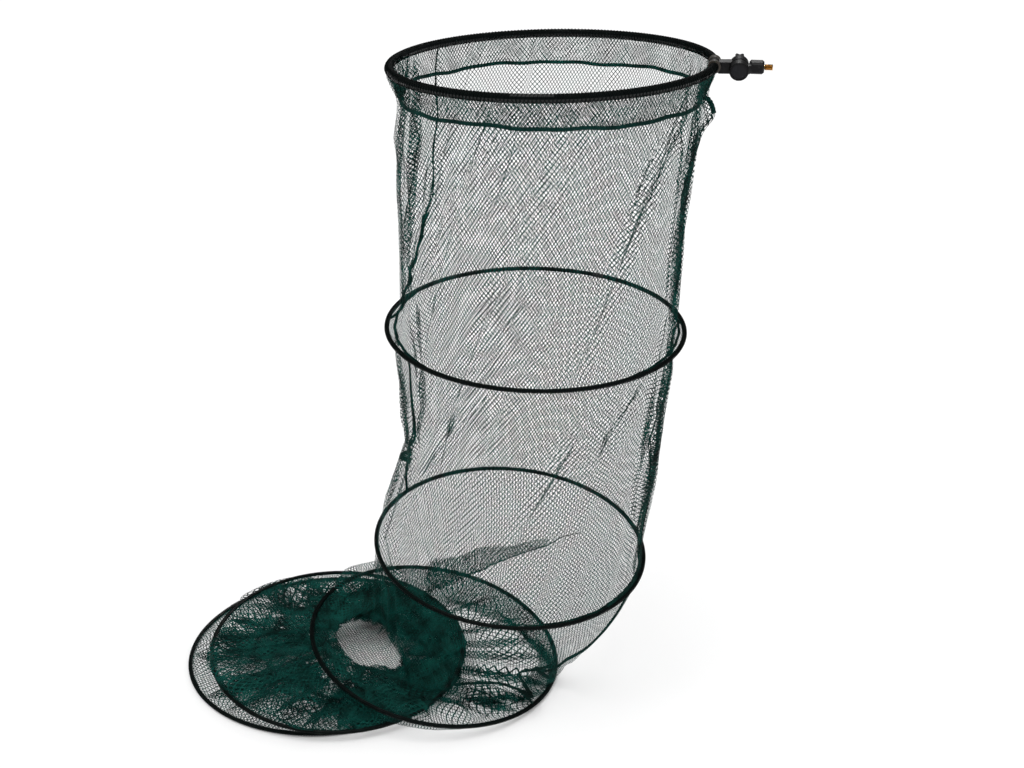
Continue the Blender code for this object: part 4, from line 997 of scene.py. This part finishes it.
# %% Side seams
SEAMS = [
    (1, "left", [0.0, 0.2, 0.53, 0.617, 0.683, 0.767, 0.833, 0.88, 0.93, 1.0],
     [145.0, 145.5, 146.2, 148.1, 150.9, 153.8, 160.5, 165.0, 175.0, 182.0], 0.0008, 2),
    (1, "left_lower", [0.66, 0.767, 0.833, 0.88, 0.93, 1.0],
     [150.0, 154.0, 160.5, 165.0, 175.0, 182.0], 0.0013, 4),
    (1, "left_front", [0.1, 0.15, 0.183, 0.2, 0.333, 0.417, 0.533],
     [216.6, 221.2, 224.5, 223.1, 220.3, 216.6, 208.1], 0.0006, 1),
    (1, "right_edge", [0.17, 0.22, 0.28, 0.34], [360.0, 360.0, 361.0, 362.0], 0.0006, 1),
    (1, "right_inner", [0.1, 0.18, 0.26], [339.4, 339.8, 338.4], 0.0005, 1),
    (1, "right_outer", [0.1, 0.18, 0.26], [343.4, 342.0, 338.4], 0.0005, 1),
    (1, "right", [0.24, 0.32, 0.45, 0.6, 0.8, 1.0],
     [338.4, 348.0, 356.0, 358.0, 361.0, 366.0], 0.0013, 4),
    (2, "left", [0.0, 0.183, 0.283, 0.35, 0.42, 0.5, 0.58, 0.67, 0.78, 0.9, 1.0],
     [219.0, 221.2, 222.2, 222.0, 216.0, 204.0, 188.0, 172.0, 158.5, 150.5, 149.0], 0.0010, 3),
    (2, "left_lower", [0.64, 0.7, 0.78, 0.9, 1.0], [177.0, 168.0, 158.5, 150.5, 149.0], 0.0013, 4),
    (2, "right", [0.0, 0.06, 0.15, 0.3, 0.5, 0.7, 0.9, 1.0],
     [374.0, 366.0, 358.0, 352.0, 351.0, 350.0, 350.0, 352.0], 0.0014, 4),
    (2, "right_front", [0.12, 0.3, 0.45, 0.6, 0.77, 0.92],
     [337.5, 337.0, 337.5, 339.0, 343.5, 348.0], 0.0007, 2),
    (3, "right", [0.0, 0.107, 0.2, 0.3, 0.43, 0.7, 1.0],
     [340.5, 339.0, 336.5, 339.0, 347.0, 352.0, 354.0], 0.0013, 3),
    (3, "tuck_edge", [0.16, 0.214, 0.286, 0.357, 0.411, 0.5, 0.536],
     [48.0, 55.5, 60.0, 67.5, 73.5, 82.5, 90.0], 0.0006, 1),
]
for sleeve, side, shares, angles_deg, thick, count in SEAMS:
    grid = sleeve_grids["net_panel_%d" % sleeve]
    for number in range(count):
        points = seam_points(grid, shares, angles_deg, 0.45 * (count - 1), 2.1 * number)
        inward = hoops[sleeve - 1]["centre"] - points
        points += 1.6 * thick * inward / np.linalg.norm(inward[:, :2], axis=1)[:, None] * [1.0, 1.0, 0.0]
        seam = wound("seam_%d_%s_%d" % (sleeve, side, number + 1), points, Radius=thick * 0.8,
                     Strand_Radius=thick, Turns=60.0, Strands=2, Points=500, Sides=4, Material=seam_twine)
        hang_between(seam)

# %% [markdown]
# High on the back of the slack sleeve a flat tuck lies across it, where the net has doubled over and stayed
# so. It is a strip that runs down between two lines of the sleeve and back up behind itself.

# %% The tuck in the slack sleeve
TUCK_ANGLES = np.linspace(60.0, 122.0, 64)
TUCK_TOP = ([60.0, 64.5, 75.0, 90.0, 99.0, 122.0], [0.25, 0.268, 0.339, 0.393, 0.446, 0.45])
TUCK_FOOT = ([60.0, 67.5, 73.5, 82.5, 88.5, 100.0, 122.0], [0.286, 0.357, 0.411, 0.5, 0.536, 0.6, 0.64])
tuck_top, tuck_foot = np.interp(TUCK_ANGLES, *TUCK_TOP), np.interp(TUCK_ANGLES, *TUCK_FOOT)
tuck_lines = []
for step in np.linspace(0.0, 2.0, 21):
    share = min(step, 2.0 - step)
    line = on_sleeve(sleeve_grids["net_panel_3"], tuck_top * (1.0 - share) + tuck_foot * share, TUCK_ANGLES)
    inward = (hoops[2]["centre"] - line) * [1.0, 1.0, 0.0]
    inward /= np.linalg.norm(inward, axis=1)[:, None]
    tuck_lines.append(line + inward * (0.0018 + 0.0020 * step))
tuck, tuck_cut = open_sheet("sleeve_3_tuck", np.array(tuck_lines), net_green)
hang_between(tuck)
print("the tuck is cut %.3f by %.3f m" % tuck_cut)

# %% [markdown]
# Where a seam reaches a hoop, the spare net is pushed along it and lies there as a soft roll. A roll is wound
# like the ropes, from a few loose strands, along a stretch of the hoop.

# %% Rolls of net along the hoops
ROLL_ENDS = 0.0035
ROLLS = [("hoop_2", "right", 24.0, -48.0, 0.0105, 0.0018), ("hoop_2", "left", 156.0, 232.0, 0.0135, 0.0020),
         ("hoop_3", "right", 14.0, -76.0, 0.0062, 0.0027), ("hoop_3", "knot", -12.0, -38.0, 0.0050, 0.0042)]
along = np.linspace(0.0, 1.0, 60)
for body, side, start_deg, end_deg, inset, thick in ROLLS:
    turned = np.radians(np.linspace(start_deg, end_deg, 60))
    inward = ROLL_ENDS + (inset - ROLL_ENDS) * np.sin(math.pi * along) + 0.0006 * np.sin(37.0 * along)
    points = on_hoop(hoops[BODIES.index(body)], turned, reach=-inward, lift=-0.0015 * np.sin(math.pi * along))
    roll = wound("roll_%s_%s" % (body[-1], side), points, Radius=thick * 0.7, Strand_Radius=thick * 0.6,
                 Turns=26.0, Strands=4, Points=500, Sides=5, Material=seam_twine)
    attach(roll, body)

# %% [markdown]
# Inside the fourth hoop two stretches of the seam lie loose on the folded net, where the slack sleeve above
# has let them down. Each is a rope along a line of points on the pile, from the photograph, and one end of it
# is tied at the hoop.

# %% Loose seams in the fourth hoop
LOOSE_STRAY = 0.0022
LOOSE_SEAMS = [
    [(-0.474, -0.144, -1.038), (-0.433, -0.132, -1.038), (-0.391, -0.126, -1.038), (-0.345, -0.148, -1.036),
     (-0.326, -0.186, -1.034)],
    [(-0.300, -0.078, -1.024), (-0.327, -0.082, -1.034), (-0.367, -0.090, -1.038), (-0.341, -0.139, -1.037),
     (-0.328, -0.168, -1.036)],
]
for number, knots in enumerate(LOOSE_SEAMS):
    for strand in range(3):
        points = smoothed(line_through(knots, 60), 5)
        points[:, 0] += LOOSE_STRAY * np.sin(9.0 * along + 2.1 * strand)
        points[:, 1] += LOOSE_STRAY * np.sin(11.0 * along + 4.0 * strand)
        rope = wound("loose_seam_%d_%d" % (number + 1, strand + 1), points, Radius=0.0010,
                     Strand_Radius=0.0011, Turns=14.0, Strands=2, Points=200, Sides=4, Material=seam_twine)
        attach(rope, "hoop_4")

# %% [markdown]
# The net is laced to each hoop: its edge meshes are wrapped over the wire. On the mouth hoop two families
# of threads cross each other on the glossy tube, and on the wire hoops they lie as a tight winding. Modelled
# threads give the hoops their toothed outline, which a bump map can't.

# %% Lace the hoops
TUBE_RADIUS, WIRE_RADIUS, THIN_WIRE, LACE_CLEARANCE = 0.0065, 0.0032, 0.0028, 0.00035
for body, node, hoop in zip(BODIES, HOOP_NODES, hoops):
    if node == "top_ring":
        tube, meshes, lace, strands = TUBE_RADIUS, MESHES_ROUND, 0.00042, 2
    else:
        tube, meshes, lace, strands = WIRE_RADIUS if body in BODIES[:4] else THIN_WIRE, 230, 0.00050, 3
    for lean, side in ((1.0, "left"), (-1.0, "right")):
        lacing = wound(node + "_lacing_" + side, on_hoop(hoop, ROUND_A_HOOP), closed=True,
                       Radius=tube + LACE_CLEARANCE, Strand_Radius=lace, Turns=lean * meshes * 0.5,
                       Strands=strands, Points=meshes * 7, Sides=3, Material=dark_twine)
        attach(lacing, body)

# %% [markdown]
# The metal and plastic parts come straight from the frame. What they need is a finish. Four effects go into
# it: a fine grain, scratches, wear that lightens the edges, and a film of dust. Each is a node group with its
# own inputs, built once and placed in a material with its own values; the edge wear goes only on some parts.

# %% Shared effects
def make_grain_group():
    """Moulded grain: fine bumps over a slow unevenness."""
    tree, (place, scale), end = new_group("moulded_grain", [("Place", "Vector"), ("Scale", "Float", 900.0)],
                                          [("Height", "Float"), ("Drift", "Float")])
    fine = noise_node(tree, place, scale, 2.0).outputs["Fac"]
    slow = noise_node(tree, place, 60.0, 3.0).outputs["Fac"]
    tree.links.new(two_parts(tree, fine, slow), end.inputs["Height"])
    tree.links.new(ramp(tree, slow, 0.3, 0.7), end.inputs["Drift"])
    return tree


def make_scratch_group():
    """Short scratches along one direction, from a noise that is stretched along it."""
    tree, (place, stretch, amount), end = new_group(
        "scratches", [("Place", "Vector"), ("Stretch", "Vector"), ("Amount", "Float", 0.4)],
        [("Mask", "Float")])
    lines = noise_node(tree, vector_node(tree, "MULTIPLY", place, stretch), 1.0, 1.0).outputs["Fac"]
    patches = noise_node(tree, place, 110.0, 1.0).outputs["Fac"]
    mask = math_node(tree, "MULTIPLY", ramp(tree, lines, 0.60, 0.68), ramp(tree, patches, 0.45, 0.62))
    tree.links.new(math_node(tree, "MULTIPLY", mask, amount), end.inputs["Mask"])
    return tree


def make_edge_group():
    """Wear along edges: the surface within Reach of two or more sides of a box, broken up by noise."""
    tree, (place, middle, half, reach), end = new_group(
        "edge_wear", [("Place", "Vector"), ("Middle", "Vector"), ("Half", "Vector"),
                      ("Reach", "Float", 0.0015)], [("Mask", "Float")])
    from_middle = vector_node(tree, "ABSOLUTE", vector_node(tree, "SUBTRACT", place, middle))
    inside = add_node(tree, "ShaderNodeSeparateXYZ", {0: vector_node(tree, "SUBTRACT", half, from_middle)})
    shares = [math_node(tree, "DIVIDE", inside.outputs[axis], reach) for axis in "XYZ"]
    near = [math_node(tree, "SUBTRACT", 1.0, share, clamp=True) for share in shares]
    pairs = [math_node(tree, "MULTIPLY", near[i], near[j]) for i, j in ((0, 1), (1, 2), (0, 2))]
    edge = math_node(tree, "MAXIMUM", math_node(tree, "MAXIMUM", pairs[0], pairs[1]), pairs[2])
    spots = noise_node(tree, place, 420.0, 3.0, 0.6).outputs["Fac"]
    tree.links.new(math_node(tree, "MULTIPLY", edge, ramp(tree, spots, 0.40, 0.62)), end.inputs["Mask"])
    return tree


def make_dust_group():
    """A film of dust that settles on faces that look up."""
    tree, (place, normal, amount), end = new_group(
        "dust", [("Place", "Vector"), ("Normal", "Vector"), ("Amount", "Float", 0.3)], [("Mask", "Float")])
    upward = ramp(tree, add_node(tree, "ShaderNodeSeparateXYZ", {0: normal}).outputs["Z"], 0.1, 1.0)
    spots = noise_node(tree, place, 240.0, 4.0, 0.7).outputs["Fac"]
    mask = math_node(tree, "MULTIPLY", upward, ramp(tree, spots, 0.42, 0.70))
    tree.links.new(math_node(tree, "MULTIPLY", mask, amount), end.inputs["Mask"])
    return tree


moulded_grain, scratches = make_grain_group(), make_scratch_group()
edge_wear, dust = make_edge_group(), make_dust_group()
print("effects:", ", ".join(group.name for group in (moulded_grain, scratches, edge_wear, dust)))

# %% [markdown]
# One function puts the effects together. A finish has a base colour, the colour under its worn edges, its
# roughness, and how much of each effect shows. The wear follows the box of the part itself, so the function
# is given that box from the frame, and makes the material for one node at a time.

# %% A finish for a hard part
DUST_COLOUR = (0.16, 0.16, 0.15)


def hard_finish(name, colour, worn, roughness, metallic=0.0, grain=900.0, depth=0.00008, marks=0.3, film=0.2,
                stretch=(900.0, 60.0, 60.0), coat=0.0, box=None, reach=0.0014, shine=0.28):
    """A finish of plastic, metal or fibre for a part in a box, with grain, scratches, wear and dust."""
    material, tree, shader = new_material(name, Metallic=metallic, Coat_Weight=coat, Coat_Roughness=0.08,
                                          Specular_IOR_Level=shine)
    place = add_node(tree, "ShaderNodeTexCoord").outputs["Object"]
    facing = add_node(tree, "ShaderNodeNewGeometry").outputs["Normal"]
    surface = place_group(tree, moulded_grain, Place=place, Scale=grain)
    wear = place_group(tree, scratches, Place=place, Stretch=stretch, Amount=marks).outputs["Mask"]
    settled = place_group(tree, dust, Place=place, Normal=facing, Amount=film).outputs["Mask"]
    if box is not None:
        low, high = np.array(box[0]), np.array(box[1])
        edge = place_group(tree, edge_wear, Place=place, Middle=tuple((low + high) / 2),
                           Half=tuple((high - low) / 2), Reach=reach)
        wear = math_node(tree, "MAXIMUM", wear, edge.outputs["Mask"])
    tone = mix_colour(tree, surface.outputs["Drift"], tuple(0.72 * part for part in colour), colour)
    tone = mix_colour(tree, settled, mix_colour(tree, wear, tone, worn), DUST_COLOUR)
    tree.links.new(tone, shader.inputs["Base Color"])
    matt = ramp(tree, surface.outputs["Drift"], 0.0, 1.0, roughness - 0.05, roughness + 0.06)
    dull = math_node(tree, "ADD", matt, math_node(tree, "MULTIPLY", settled, 0.4), clamp=True)
    tree.links.new(dull, shader.inputs["Roughness"])
    height = math_node(tree, "SUBTRACT", surface.outputs["Height"], math_node(tree, "MULTIPLY", wear, 0.5))
    add_bump(tree, shader, height, 0.6, depth)
    return material


# %% [markdown]
# The connector is black moulding with a glossier knob. Its screws and pins are bright metal and its stud is
# brass. The hoops are coated nearly black. Edges that hands and sockets rub have wear along them.

# %% Finishes for the hard parts
ALONG_Z, ALONG_X = (60.0, 60.0, 900.0), (60.0, 900.0, 900.0)
MOULDED = dict(colour=(0.006, 0.006, 0.007), worn=(0.045, 0.045, 0.047), roughness=0.42, film=0.06, shine=0.14)
FERRULE = dict(colour=(0.050, 0.042, 0.034), worn=(0.20, 0.18, 0.15), roughness=0.38, film=0.5)
PIN = dict(colour=(0.45, 0.45, 0.47), worn=(0.72, 0.72, 0.74), roughness=0.30, metallic=1.0)
WIRE = dict(colour=(0.001, 0.004, 0.0035), worn=(0.02, 0.035, 0.030), roughness=0.36, shine=0.12, film=0.01,
            depth=0.00004, stretch=ALONG_Z)
JOINER = dict(colour=(0.010, 0.011, 0.011), worn=(0.09, 0.09, 0.09), roughness=0.30, film=0.05)
FINISHES = {
    "stem": MOULDED, "ring_hub": MOULDED,
    "front_cap": dict(colour=(0.010, 0.010, 0.013), worn=(0.05, 0.05, 0.06), roughness=0.50, film=0.06,
                      shine=0.16),
    "lock_knob": dict(colour=(0.006, 0.006, 0.007), worn=(0.10, 0.10, 0.10), roughness=0.14, coat=0.4,
                      depth=0.00003, film=0.05, shine=0.16),
    "ferrule_front": FERRULE, "ferrule_rear": FERRULE,
    "top_ring": dict(colour=(0.002, 0.004, 0.004), worn=(0.04, 0.04, 0.04), roughness=0.10, coat=0.30,
                     shine=0.10, depth=0.00003, marks=0.12, stretch=ALONG_Z, film=0.01),
    "friction_disc": dict(colour=(0.05, 0.035, 0.022), worn=(0.12, 0.08, 0.05), roughness=0.8, grain=1600.0,
                          depth=0.0001),
    "washer": dict(colour=(0.52, 0.52, 0.54), worn=(0.75, 0.75, 0.76), roughness=0.30, metallic=1.0,
                   stretch=ALONG_Z),
    "pivot_bolt": dict(colour=(0.42, 0.42, 0.44), worn=(0.70, 0.70, 0.72), roughness=0.34, metallic=1.0),
    "knob_nut": dict(colour=(0.62, 0.42, 0.16), worn=(0.85, 0.62, 0.30), roughness=0.32, metallic=1.0),
    "ring_pin_front": PIN, "ring_pin_rear": PIN,
    "stud": dict(colour=(0.60, 0.38, 0.15), worn=(0.95, 0.74, 0.42), roughness=0.22, metallic=1.0, film=0.05,
                 stretch=ALONG_X, reach=0.0010),
}
for node in HOOP_NODES[1:]:
    FINISHES[node], FINISHES[node + "_joiner"] = WIRE, JOINER
WORN_EDGES = ("stem", "ring_hub", "lock_knob", "stud", "washer")
for node, values in FINISHES.items():
    finish = hard_finish(node + "_finish", box=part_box(node) if node in WORN_EDGES else None, **values)
    for slot in nodes[node].material_slots:
        slot.material = finish
print("finished", len(FINISHES), "hard parts")
